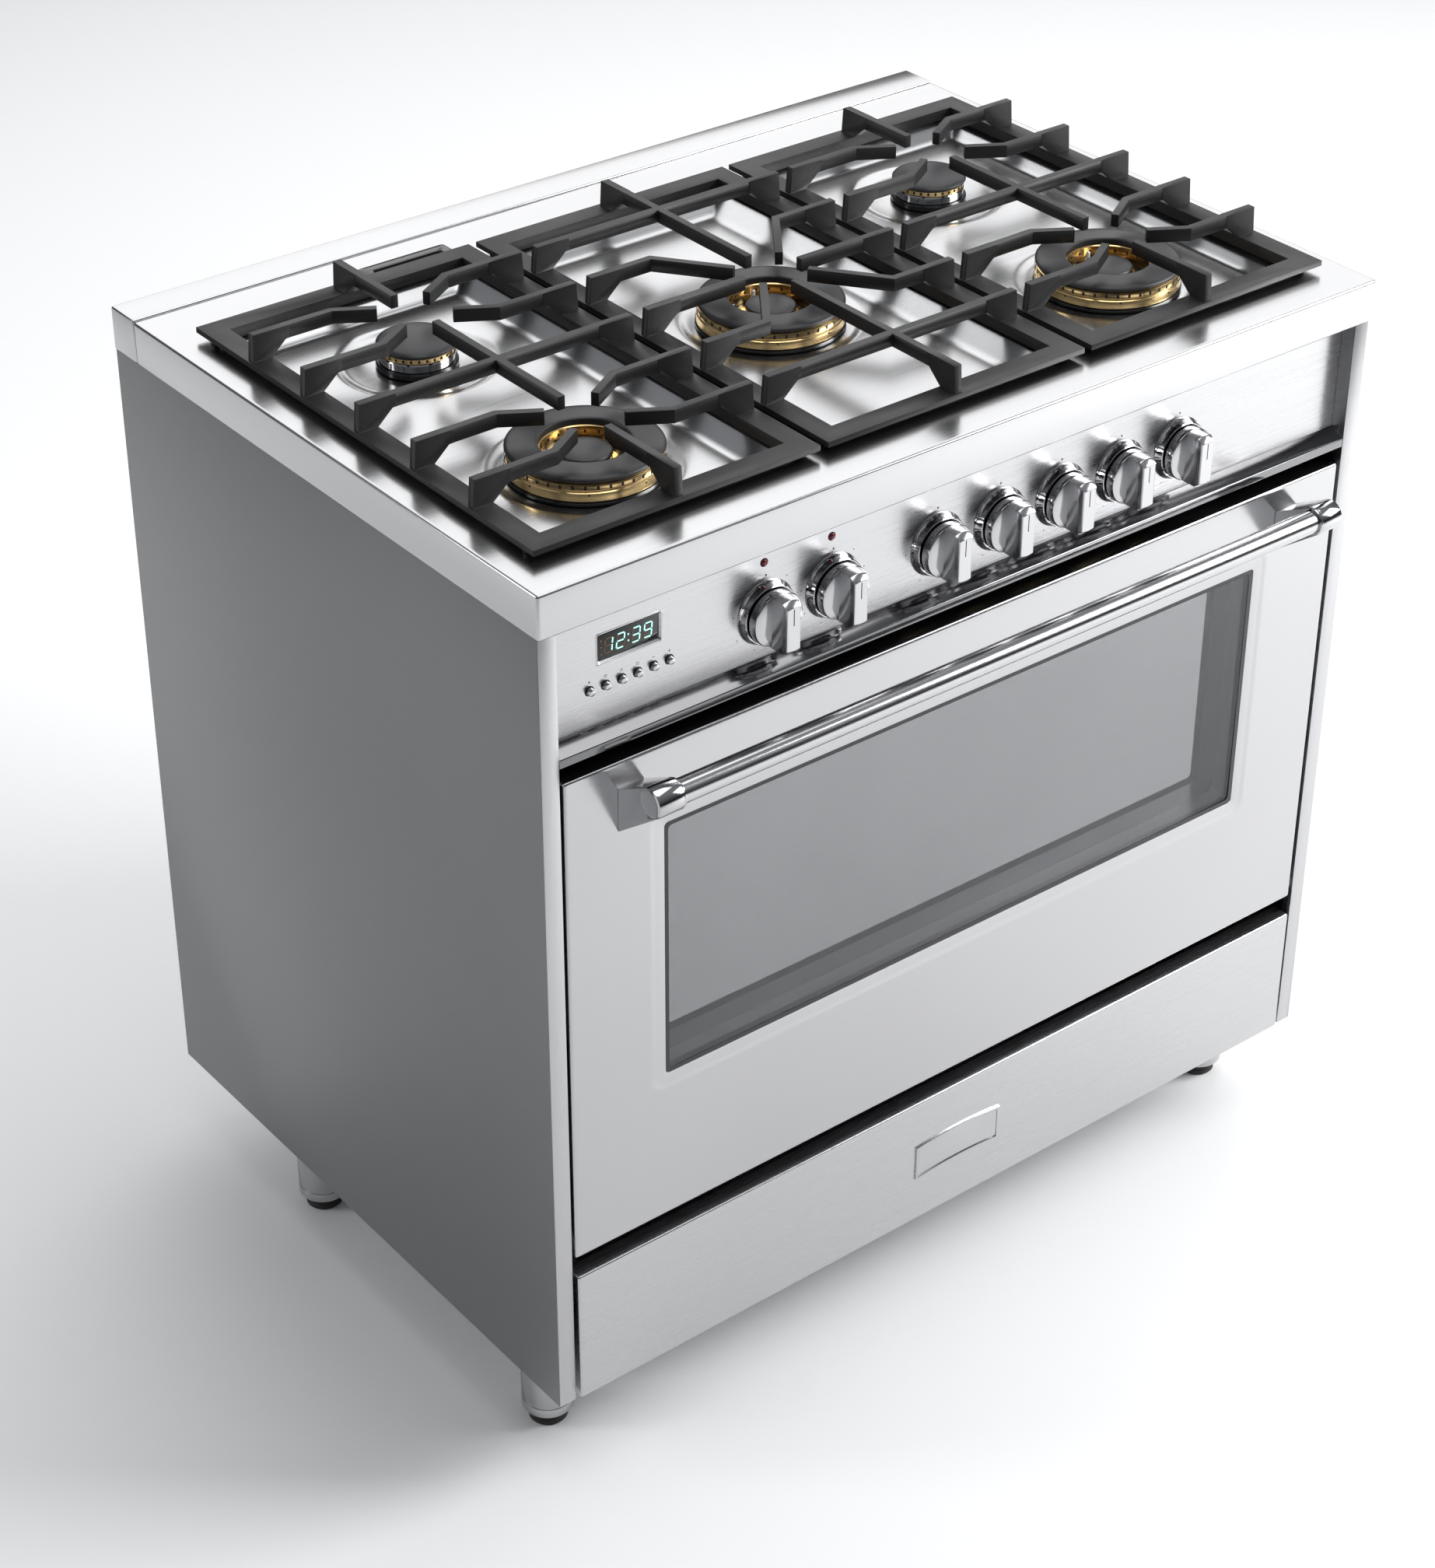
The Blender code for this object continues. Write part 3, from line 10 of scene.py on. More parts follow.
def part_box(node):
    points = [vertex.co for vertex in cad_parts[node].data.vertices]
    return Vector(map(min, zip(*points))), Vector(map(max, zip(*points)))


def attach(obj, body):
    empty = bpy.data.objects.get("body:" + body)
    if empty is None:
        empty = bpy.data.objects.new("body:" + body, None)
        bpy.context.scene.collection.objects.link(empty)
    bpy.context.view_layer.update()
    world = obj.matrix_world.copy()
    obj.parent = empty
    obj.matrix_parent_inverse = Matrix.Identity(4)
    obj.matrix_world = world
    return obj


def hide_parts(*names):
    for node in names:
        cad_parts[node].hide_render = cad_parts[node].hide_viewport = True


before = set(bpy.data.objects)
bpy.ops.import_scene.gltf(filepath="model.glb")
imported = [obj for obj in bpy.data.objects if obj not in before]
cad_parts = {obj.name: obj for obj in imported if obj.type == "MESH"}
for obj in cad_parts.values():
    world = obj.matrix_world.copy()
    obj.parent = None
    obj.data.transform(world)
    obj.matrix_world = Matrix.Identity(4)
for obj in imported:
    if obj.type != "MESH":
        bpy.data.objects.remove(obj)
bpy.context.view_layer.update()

ROOT = "range_body"
DOOR = "oven_door"
DRAWER = "storage_drawer"
TAU = 2 * math.pi

# ---- places taken from the CAD model ------------------------------------------
top_lo, top_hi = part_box("cooktop")
HALF = top_hi.x
FRONT = top_lo.y
SEAM = top_hi.y
TOP = top_hi.z
APRON = top_lo.z
trim_lo, trim_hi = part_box("rear_trim")
BACK = trim_hi.y


def middle(node):
    low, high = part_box(node)
    return (low + high) / 2


# ---- materials -------------------------------------------------------------------
class Mat:
    """A Principled material with short ways to drive its inputs."""

    def __init__(self, name, colour, roughness, metallic=0.0, **fixed):
        self.mat = bpy.data.materials.new(name)
        self.mat.use_nodes = True
        self.tree = self.mat.node_tree
        self.bsdf = self.tree.nodes["Principled BSDF"]
        self.colour = colour
        self.bsdf.inputs["Base Color"].default_value = (*colour, 1.0)
        self.bsdf.inputs["Roughness"].default_value = roughness
        self.bsdf.inputs["Metallic"].default_value = metallic
        for key, value in fixed.items():
            self.bsdf.inputs[key.replace("_", " ")].default_value = value
        self.bump_from = None

    def node(self, kind, **values):
        made = self.tree.nodes.new(kind)
        for key, value in values.items():
            setattr(made, key, value)
        return made

    def link(self, a, b):
        self.tree.links.new(a, b)

    def noise(self, scale, stretch=(1, 1, 1), detail=3.0, rough=0.55):
        coord = self.node("ShaderNodeTexCoord")
        mapping = self.node("ShaderNodeMapping")
        mapping.inputs["Scale"].default_value = stretch
        self.link(coord.outputs["Object"], mapping.inputs["Vector"])
        noise = self.node("ShaderNodeTexNoise")
        noise.inputs["Scale"].default_value = scale
        noise.inputs["Detail"].default_value = detail
        noise.inputs["Roughness"].default_value = rough
        self.link(mapping.outputs["Vector"], noise.inputs["Vector"])
        return noise.outputs["Fac"]

    def spread(self, value, low, high, from_low=0.3, from_high=0.7):
        remap = self.node("ShaderNodeMapRange")
        remap.inputs["From Min"].default_value = from_low
        remap.inputs["From Max"].default_value = from_high
        remap.inputs["To Min"].default_value = low
        remap.inputs["To Max"].default_value = high
        self.link(value, remap.inputs["Value"])
        return remap.outputs["Result"]

    def roughness(self, value, low, high):
        self.link(self.spread(value, low, high), self.bsdf.inputs["Roughness"])

    def tint(self, value, low, high):
        """Vary the base colour between two brightness factors."""
        ramp = self.node("ShaderNodeValToRGB")
        ramp.color_ramp.elements[0].position = 0.3
        ramp.color_ramp.elements[1].position = 0.7
        ramp.color_ramp.elements[0].color = (*[c * low for c in self.colour], 1.0)
        ramp.color_ramp.elements[1].color = (*[min(c * high, 1.0) for c in self.colour], 1.0)
        self.link(value, ramp.inputs["Fac"])
        self.link(ramp.outputs["Color"], self.bsdf.inputs["Base Color"])

    def bump(self, value, strength, distance):
        bump = self.node("ShaderNodeBump")
        bump.inputs["Strength"].default_value = strength
        bump.inputs["Distance"].default_value = distance
        self.link(value, bump.inputs["Height"])
        if self.bump_from is not None:
            self.link(self.bump_from, bump.inputs["Normal"])
        self.bump_from = bump.outputs["Normal"]
        self.link(self.bump_from, self.bsdf.inputs["Normal"])


def brushed(name, colour, roughness, stretch, depth=0.000006):
    """Stainless sheet with fine streaks along the axis of least stretch."""
    made = Mat(name, colour, roughness, 1.0)
    streak = made.noise(1.0, stretch, 2.0, 0.5)
    made.roughness(streak, roughness - 0.03, roughness + 0.04)
    made.tint(made.noise(2.2, (1, 1, 1), 2.0), 0.97, 1.02)
    made.bump(streak, 0.2, depth)
    return made.mat


def plain(name, colour, roughness, metallic, grain, grain_depth, mottle=0.08):
    """A surface with fine grain, and slow changes of gloss and tone."""
    made = Mat(name, colour, roughness, metallic)
    slow = made.noise(9.0, (1, 1, 1), 3.0)
    made.roughness(slow, roughness * (1 - 2 * mottle), roughness * (1 + 2 * mottle))
    made.tint(slow, 1 - mottle, 1 + mottle)
    made.bump(made.noise(grain, (1, 1, 1), 2.0), 0.4, grain_depth)
    return made.mat


ALONG_X = (6, 1500, 1500)
ALONG_Z = (1500, 1500, 6)

steel = brushed("brushed_steel", (0.51, 0.51, 0.52), 0.25, ALONG_X, 0.000002)
steel_up = brushed("brushed_steel_up", (0.48, 0.48, 0.49), 0.24, ALONG_Z)
steel_deck = brushed("deck_steel", (0.55, 0.55, 0.555), 0.22, ALONG_X, 0.000003)
steel_door = brushed("door_steel", (0.48, 0.48, 0.49), 0.20, ALONG_X, 0.000002)
steel_knob = brushed("knob_steel", (0.50, 0.50, 0.51), 0.15, ALONG_Z, 0.000003)
polished = plain("polished_steel", (0.50, 0.50, 0.51), 0.12, 1.0, 300, 0.000006)
chrome = plain("bright_chrome", (0.50, 0.50, 0.51), 0.06, 1.0, 200, 0.000006)
# polished ledge under the control panel, its steel darkened as painted shade from the overhang above
ledge_steel_painted_shade = plain("ledge_steel_painted_shade", (0.20, 0.20, 0.205), 0.12, 1.0, 200, 0.000006)
bar_steel = brushed("bar_steel", (0.50, 0.50, 0.51), 0.17, ALONG_X, 0.000002)
side_grey = plain("side_grey", (0.20, 0.202, 0.208), 0.30, 0.75, 700, 0.00001, 0.015)
galvanised = plain("galvanised_sheet", (0.50, 0.52, 0.53), 0.42, 0.9, 60, 0.00005)
enamel = plain("black_enamel", (0.012, 0.012, 0.013), 0.16, 0.0, 500, 0.00002)
oven_enamel = plain("oven_enamel", (0.035, 0.038, 0.045), 0.28, 0.0, 400, 0.00003)
cap_black = plain("cap_enamel", (0.02, 0.02, 0.022), 0.42, 0.0, 1300, 0.00005)
iron = plain("cast_iron", (0.010, 0.010, 0.011), 0.48, 0.0, 900, 0.00035)
reveal_paint = plain("reveal_paint", (0.055, 0.055, 0.058), 0.35, 0.0, 400, 0.00003)
# black for real black parts and print, and also for painted shade in burner holes, back openings and knob
# gaps
black = plain("matt_black", (0.006, 0.006, 0.006), 0.6, 0.0, 500, 0.00003)
rubber = plain("foot_rubber", (0.02, 0.02, 0.02), 0.7, 0.0, 800, 0.0001)
ceramic = plain("white_ceramic", (0.85, 0.83, 0.78), 0.35, 0.0, 700, 0.00003)
lens_red = plain("lamp_red", (0.16, 0.004, 0.010), 0.10, 0.0, 300, 0.00001)
display = plain("display_glass", (0.004, 0.005, 0.005), 0.05, 0.0, 200, 0.000005)


def make_brass():
    made = Mat("burner_brass", (0.86, 0.62, 0.30), 0.2, 1.0)
    rings = made.noise(1.0, (30, 30, 2600), 3.0)
    made.roughness(rings, 0.13, 0.3)
    made.tint(made.noise(60.0), 0.88, 1.06)
    made.bump(rings, 0.3, 0.00003)
    return made.mat


def make_glass(name, colour, metallic, alpha):
    """Tinted glass with a thin reflecting coat."""
    made = Mat(name, colour, 0.03, metallic, IOR=1.5, Alpha=alpha)
    slow = made.noise(3.0)
    made.roughness(slow, 0.015, 0.035)
    made.tint(slow, 0.94, 1.06)
    return made.mat


def glowing(name, colour, strength):
    made = Mat(name, colour, 0.4)
    made.bsdf.inputs["Emission Color"].default_value = (*colour, 1.0)
    made.bsdf.inputs["Emission Strength"].default_value = strength
    made.tint(made.noise(900.0), 0.9, 1.1)
    return made.mat


brass = make_brass()
door_glass = make_glass("door_glass_tint", (0.36, 0.365, 0.375), 0.9, 0.13)
mirror_glass = make_glass("middle_glass_tint", (0.27, 0.275, 0.285), 0.95, 1.0)
inner_glass = make_glass("inner_glass_tint", (0.50, 0.51, 0.53), 0.9, 0.80)
digit_on = glowing("digit_lit", (0.42, 0.95, 0.80), 1.1)
digit_off = glowing("digit_unlit", (0.14, 0.06, 0.02), 0.05)


# ---- mesh helpers ------------------------------------------------------------------
def put(name, bm, mat, body=ROOT, replaces=(), angle=32):
    """Turn a bmesh in world coordinates into a piece that rides on a body."""
    bmesh.ops.recalc_face_normals(bm, faces=bm.faces[:])
    mesh = bpy.data.meshes.new(name)
    bm.to_mesh(mesh)
    bm.free()
    piece = bpy.data.objects.new(name, mesh)
    bpy.context.scene.collection.objects.link(piece)
    mesh.materials.append(mat)
    mesh.shade_smooth()
    mesh.set_sharp_from_angle(angle=math.radians(angle))
    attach(piece, body)
    if replaces:
        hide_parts(*replaces)
    return piece


def add_rings(bm, rings, close_start=True, close_end=True, loop=False):
    """Bridge closed rings of points, each with the same number of points."""
    rows = [[bm.verts.new(point) for point in ring] for ring in rings]
    pairs = list(zip(rows, rows[1:]))
    if loop:
        pairs.append((rows[-1], rows[0]))
    count = len(rows[0])
    for low, high in pairs:
        for i in range(count):
            j = (i + 1) % count
            bm.faces.new((low[i], low[j], high[j], high[i]))
    if close_start and not loop:
        bm.faces.new(rows[0][::-1])
    if close_end and not loop:
        bm.faces.new(rows[-1])


def circle(radius, height, count):
    return [
        Vector((radius * math.cos(TAU * i / count), radius * math.sin(TAU * i / count), height))
        for i in range(count)
    ]


def add_lathe(bm, profile, place, count=64, loop=False):
    """Profile of (radius, height) turned about place's Z axis."""
    rings = [[place @ point for point in circle(max(r, 0.00005), h, count)] for r, h in profile]
    add_rings(bm, rings, True, True, loop)


def lathe(profile, place, count=64, loop=False):
    bm = bmesh.new()
    add_lathe(bm, profile, place, count, loop)
    return bm


def rounded(half_u, half_v, radius, steps=4, centre=(0.0, 0.0)):
    """Outline of a rounded rectangle, anticlockwise from the right side."""
    points = []
    radius = max(min(radius, half_u, half_v), 0.00001)
    for quarter, (su, sv) in enumerate(((1, 1), (-1, 1), (-1, -1), (1, -1))):
        for i in range(steps + 1):
            angle = math.pi / 2 * (quarter + i / steps)
            points.append((
                centre[0] + su * (half_u - radius) + radius * math.cos(angle),
                centre[1] + sv * (half_v - radius) + radius * math.sin(angle)))
    return points


def facing(y):
    """Lift an outline to points on the upright plane at depth y."""
    return lambda outline: [Vector((u, y, v)) for u, v in outline]


def flat(z):
    """Lift an outline to points on the level plane at height z."""
    return lambda outline: [Vector((u, v, z)) for u, v in outline]


def add_box(bm, x, y, z, bevel=0.0, segments=2, place=None):
    """Box between (low, high) pairs with rounded edges."""
    part = bmesh.new()
    bmesh.ops.create_cube(part, size=1.0)
    for vert in part.verts:
        vert.co.x = x[1] if vert.co.x > 0 else x[0]
        vert.co.y = y[1] if vert.co.y > 0 else y[0]
        vert.co.z = z[1] if vert.co.z > 0 else z[0]
    if bevel:
        bmesh.ops.bevel(
            part, geom=part.edges[:], offset=bevel, segments=segments, profile=0.5, affect="EDGES")
    if place is not None:
        bmesh.ops.transform(part, matrix=place, verts=part.verts)
    keep = {vert: bm.verts.new(vert.co) for vert in part.verts}
    for face in part.faces:
        bm.faces.new([keep[vert] for vert in face.verts])
    part.free()


def box(x, y, z, bevel=0.0, segments=2):
    bm = bmesh.new()
    add_box(bm, x, y, z, bevel, segments)
    return bm


def dressed(node, mat, bevel=0.0006, segments=2, angle=25):
    """Keep a CAD node's shape, soften its edges and give it a finish."""
    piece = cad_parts[node]
    weld = piece.modifiers.new("weld", "WELD")
    weld.merge_threshold = 0.00002
    if bevel:
        soft = piece.modifiers.new("soft_edges", "BEVEL")
        soft.width = bevel
        soft.segments = segments
        soft.limit_method = "ANGLE"
        soft.angle_limit = math.radians(angle)
        soft.harden_normals = False
    piece.data.materials.clear()
    piece.data.materials.append(mat)
    piece.data.shade_smooth()
    piece.data.set_sharp_from_angle(angle=math.radians(35))
    return piece


def upright_frame(x, y, z):
    """Local +Z points out of the front."""
    return Matrix.Translation((x, y, z)) @ Matrix.Rotation(math.radians(90), 4, "X")


# ---- cooktop ------------------------------------------------------------------------
WELL_DEPTH = 0.0142
DISH_DEPTH = 0.0030
EDGE = 0.006
BURNERS = ("rear_left", "front_left", "centre", "rear_right", "front_right")
LARGE = ("front_left", "centre", "front_right")
burner_at = {name: middle("burner_cap_" + name) for name in BURNERS}


def eased(t, soft):
    """0 to 1 along a straight slope with soft ends."""
    t = min(max(t, 0.0), 1.0)
    scale = 1.0 / (1.0 - soft)
    if t < soft:
        return t * t / (2 * soft) * scale
    if t > 1 - soft:
        return 1.0 - (1 - t) ** 2 / (2 * soft) * scale
    return (t - soft / 2) * scale


def inside_distance(dx, dy, half_x, half_y, radius):
    """How far a point lies inside a rounded rectangle; negative outside it."""
    qx = abs(dx) - (half_x - radius)
    qy = abs(dy) - (half_y - radius)
    outside = math.hypot(max(qx, 0.0), max(qy, 0.0)) + min(max(qx, qy), 0.0)
    return radius - outside


def wells():
    """Centre, half sizes and slope length of the sunken area under each grate."""
    found = []
    for name in ("left", "middle", "right"):
        low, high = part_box("grate_" + name)
        left = 0.0122 if name != "left" else 0.0055
        right = 0.0122 if name != "right" else 0.0055
        run = 0.036 if name == "middle" else 0.029
        found.append((
            (low.x + left + high.x - right) / 2, (low.y + high.y) / 2,
            (high.x - low.x - left - right) / 2, (high.y - low.y) / 2 - 0.0095, run))
    return found


WELLS = wells()


def deck_height(x, y):
    depth = 0.0
    for cx, cy, half_x, half_y, run in WELLS:
        inside = inside_distance(x - cx, y - cy, half_x, half_y, 0.018)
        if inside > 0:
            depth = WELL_DEPTH * eased(inside / run, 0.22)
    for name, centre in burner_at.items():
        outer = 0.083 if name in LARGE else 0.072
        away = math.hypot(x - centre.x, y - centre.y)
        if away < outer:
            depth += DISH_DEPTH * eased((outer - away) / 0.012, 0.35)
    return TOP - depth


def make_cooktop():
    bm = bmesh.new()
    step = 0.0026
    x0, x1 = -HALF + EDGE, HALF - EDGE
    y0, y1 = FRONT + EDGE, SEAM - EDGE
    nx = round((x1 - x0) / step)
    ny = round((y1 - y0) / step)
    low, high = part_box("oven_vent")
    slot_x = (low.x + 0.012, high.x - 0.012)
    slot_y = (low.y + 0.0115, high.y - 0.0115)
    rows = []
    for j in range(ny + 1):
        y = y0 + (y1 - y0) * j / ny
        rows.append([
            bm.verts.new((x0 + (x1 - x0) * i / nx, y, deck_height(x0 + (x1 - x0) * i / nx, y)))
            for i in range(nx + 1)
        ])
    for j in range(ny):
        for i in range(nx):
            corner = rows[j][i].co
            if slot_x[0] < corner.x < slot_x[1] - step and slot_y[0] < corner.y < slot_y[1] - step:
                continue
            bm.faces.new((rows[j][i], rows[j][i + 1], rows[j + 1][i + 1], rows[j + 1][i]))
    centre = (0.0, (FRONT + SEAM) / 2)
    half_y = (SEAM - FRONT) / 2
    bend = 0.0022
    profile = [(EDGE, TOP), (EDGE * 0.7, TOP)]
    for i in range(6):
        angle = math.pi / 2 * i / 5
        profile.append((bend * (1 - math.sin(angle)), TOP - bend * (1 - math.cos(angle))))
    profile += [(0.0, APRON + 0.0012), (0.0004, APRON + 0.0003), (0.0012, APRON), (0.012, APRON)]
    rings = [
        flat(z)(rounded(HALF - inset, half_y - inset, max(0.003 - inset, 0.00002), 4, centre))
        for inset, z in profile
    ]
    add_rings(bm, rings, False, False)
    put("cooktop_sheet", bm, steel_deck, replaces=["cooktop"], angle=50)


def make_trim():
    put("rear_trim_cap", box((-HALF, HALF), (trim_lo.y, trim_hi.y), (trim_lo.z, trim_hi.z), 0.0015, 3),
        steel_deck, replaces=["rear_trim"])


def make_vent():
    low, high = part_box("oven_vent")
    centre = ((low.x + high.x) / 2, (low.y + high.y) / 2)
    half = ((high.x - low.x) / 2, (high.y - low.y) / 2)
    rings = []
    for inset, z in ((0, low.z), (0, high.z - 0.001), (0.0003, high.z - 0.0003), (0.001, high.z),
                     (0.0095, high.z), (0.0102, high.z - 0.0006), (0.0105, high.z - 0.0016),
                     (0.0105, TOP - 0.030)):
        rings.append(flat(z)(rounded(half[0] - inset, half[1] - inset, 0.003, 4, centre)))
    bm = bmesh.new()
    add_rings(bm, rings, False, True)
    for i in range(9):
        x = low.x + 0.017 + i * (high.x - low.x - 0.034) / 8
        add_box(bm, (x - 0.0012, x + 0.0012), (low.y + 0.0102, high.y - 0.0102),
                (high.z - 0.007, high.z - 0.003), 0.0004, 1)
    put("flue_grille", bm, enamel, replaces=["oven_vent"])


# ---- burners ------------------------------------------------------------------------
def add_port_shadows(bm, centre, radius, z, count, width, turn=0.0):
    """Black boxes as painted shade in the flame holes around a crown, standing 0.2 mm into the air."""
    for i in range(count):
        spin = Matrix.Translation((centre.x, centre.y, 0)) @ Matrix.Rotation(TAU * i / count + turn, 4, "Z")
        add_box(bm, (radius - 0.003, radius + 0.0002), (-width / 2, width / 2), z, 0.0, 1, spin)


def make_large_burner(name):
    at = burner_at[name]
    place = Matrix.Translation((at.x, at.y, TOP))
    head = "burner_head_" + name
    base = [(0.012, -0.0165), (0.0655, -0.0165), (0.0662, -0.0158), (0.0662, -0.0142), (0.0655, -0.0134),
            (0.0600, -0.0130), (0.0400, -0.0122), (0.012, -0.0122)]
    put("burner_base_" + name, lathe(base, place, 96, True), enamel, replaces=[head])
    crown = [(0.0365, -0.0118), (0.0365, 0.0028), (0.0374, 0.0036), (0.0585, 0.0036), (0.0600, 0.0030),
             (0.0632, 0.0030), (0.0644, 0.0022), (0.0648, 0.0008), (0.0648, -0.0024), (0.0640, -0.0031),
             (0.0640, -0.0044), (0.0650, -0.0052), (0.0652, -0.0120), (0.0645, -0.0129), (0.0620, -0.0131)]
    put("burner_crown_" + name, lathe(crown, place, 128, True), brass)
    # painted shade: black boxes in the flame holes and crown notches, which are dark only from shade
    port_shadows = bmesh.new()
    add_port_shadows(port_shadows, at, 0.0648, (TOP - 0.0019, TOP + 0.0012), 40, 0.0021)
    add_port_shadows(port_shadows, at, 0.0652, (TOP - 0.0072, TOP - 0.0060), 8, 0.0016, 0.2)
    for i in range(20):
        spin = place @ Matrix.Rotation(TAU * i / 20, 4, "Z")
        add_box(port_shadows, (0.0363, 0.0380), (-0.0009, 0.0009), (-0.0030, -0.0005), 0.0, 1, spin)
    add_port_shadows(port_shadows, at, 0.0219, (TOP - 0.0065, TOP - 0.0046), 18, 0.0014)
    put("burner_port_shadows_" + name, port_shadows, black)
    inner = [(0.0, -0.0040), (0.0205, -0.0040), (0.0217, -0.0046), (0.0219, -0.0068), (0.0212, -0.0075),
             (0.0235, -0.0084), (0.0275, -0.0092), (0.0278, -0.0112), (0.0262, -0.0120), (0.0, -0.0120)]
    put("burner_core_" + name, lathe(inner, place, 96), brass)
    spokes = bmesh.new()
    for i in range(3):
        spin = place @ Matrix.Rotation(TAU * (i / 3 + 0.07), 4, "Z")
        add_box(spokes, (0.025, 0.0372), (-0.0035, 0.0035), (-0.0112, -0.0060), 0.0012, 2, spin)
        add_box(spokes, (0.0285, 0.0335), (-0.0022, 0.0022), (-0.0062, -0.0046), 0.0006, 2, spin)
    put("burner_spokes_" + name, spokes, brass)
    for label, turn, mat, tip in (("igniter", 0.22, ceramic, 0.0018), ("sensor", 0.40, chrome, 0.0012)):
        spin = place @ Matrix.Rotation(TAU * turn, 4, "Z") @ Matrix.Translation((0.0322, 0, 0))
        rod = [(0.0, 0.0010), (tip * 0.6, 0.0008), (tip, 0.0), (tip, -0.0060), (tip + 0.0008, -0.0064),
               (tip + 0.0008, -0.0118), (0.0, -0.0118)]
        put("burner_%s_%s" % (label, name), lathe(rod, spin, 20), mat)
    cap = [(0.0378, 0.0040), (0.0378, 0.0078), (0.0383, 0.0088), (0.0395, 0.0094), (0.0410, 0.0095),
           (0.0560, 0.0093), (0.0615, 0.0088), (0.0640, 0.0078), (0.0651, 0.0064), (0.0652, 0.0052),
           (0.0646, 0.0043), (0.0630, 0.0040)]
    put("cap_ring_" + name, lathe(cap, place, 128, True), cap_black, "cap_%s_body" % name,
        ["burner_cap_" + name])
    button = [(0.0, 0.0032), (0.006, 0.00315), (0.0125, 0.0028), (0.0180, 0.0021), (0.0212, 0.0011),
              (0.0223, -0.0002), (0.0225, -0.0016), (0.0220, -0.0026), (0.0205, -0.0031), (0.0, -0.0031)]
    put("cap_button_" + name, lathe(button, place, 96), cap_black, "inner_cap_%s_body" % name,
        ["inner_cap_" + name])


def make_small_burner(name):
    at = burner_at[name]
    place = Matrix.Translation((at.x, at.y, TOP))
    base = [(0.0, -0.0165), (0.0348, -0.0165), (0.0355, -0.0158), (0.0355, -0.0120), (0.0345, -0.0108),
            (0.0, -0.0104)]
    put("burner_base_" + name, lathe(base, place, 96), enamel,
        replaces=["burner_head_" + name])
    ring = [(0.0, -0.0106), (0.0322, -0.0106), (0.0330, -0.0100), (0.0330, -0.0040), (0.0324, -0.0032),
            (0.0, -0.0032)]
    put("burner_ring_" + name, lathe(ring, place, 96), chrome)
    crown = [(0.0, -0.0030), (0.0318, -0.0030), (0.0326, -0.0022), (0.0326, 0.0018), (0.0318, 0.0026),
             (0.0, 0.0026)]
    put("burner_crown_" + name, lathe(crown, place, 96), brass)
    # painted shade: black boxes in the flame holes, which are dark only from shade
    port_shadows = bmesh.new()
    add_port_shadows(port_shadows, at, 0.0326, (TOP - 0.0014, TOP + 0.0012), 30, 0.0019)
    put("burner_port_shadows_" + name, port_shadows, black)
    spin = place @ Matrix.Translation((0.0375, -0.002, 0))
    rod = [(0.0, 0.0020), (0.0011, 0.0017), (0.0018, 0.0), (0.0018, -0.0100), (0.0026, -0.0104),
           (0.0026, -0.0160), (0.0, -0.0160)]
    put("burner_igniter_" + name, lathe(rod, spin, 20), ceramic)
    cap = [(0.0, 0.0100), (0.008, 0.0099), (0.0160, 0.0094), (0.0240, 0.0085), (0.0300, 0.0074),
           (0.0336, 0.0062), (0.0346, 0.0050), (0.0347, 0.0040), (0.0341, 0.0031), (0.0325, 0.0028),
           (0.0, 0.0028)]
    put("cap_dome_" + name, lathe(cap, place, 96), cap_black, "cap_%s_body" % name,
        ["burner_cap_" + name])


# ---- control panel ---------------------------------------------------------------------
panel_lo, panel_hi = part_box("control_panel")
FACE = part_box("clock_window")[0].y - 0.001
clock_lo, clock_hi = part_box("clock_window")
CLOCK = (clock_lo + clock_hi) / 2
CLOCK_HALF = ((clock_hi.x - clock_lo.x) / 2, (clock_hi.z - clock_lo.z) / 2)
SEGMENTS = {
    "1": "bc", "2": "abged", "3": "abgcd", "9": "abcdfg",
}


def make_panel():
    bm = bmesh.new()
    centre = ((panel_lo.x + panel_hi.x) / 2, (panel_lo.z + panel_hi.z) / 2)
    half = ((panel_hi.x - panel_lo.x) / 2, (panel_hi.z - panel_lo.z) / 2)
    at = (CLOCK.x, CLOCK.z)
    steps = (
        (centre, half, 0.00002, FACE + 0.0015),
        (centre, half, 0.00002, FACE),
        (at, (CLOCK_HALF[0] + 0.0036, CLOCK_HALF[1] + 0.0036), 0.0044, FACE),
        (at, (CLOCK_HALF[0] + 0.0022, CLOCK_HALF[1] + 0.0022), 0.0030, FACE),
        (at, (CLOCK_HALF[0] + 0.0016, CLOCK_HALF[1] + 0.0016), 0.0026, FACE - 0.0004),
        (at, (CLOCK_HALF[0] + 0.0010, CLOCK_HALF[1] + 0.0010), 0.0022, FACE - 0.0004),
        (at, (CLOCK_HALF[0] - 0.0004, CLOCK_HALF[1] - 0.0004), 0.0014, FACE + 0.0012),
    )
    rings = [facing(y)(rounded(size[0], size[1], radius, 5, where)) for where, size, radius, y in steps]
    add_rings(bm, rings, False, False)
    put("panel_face", bm, steel, replaces=["control_panel"])


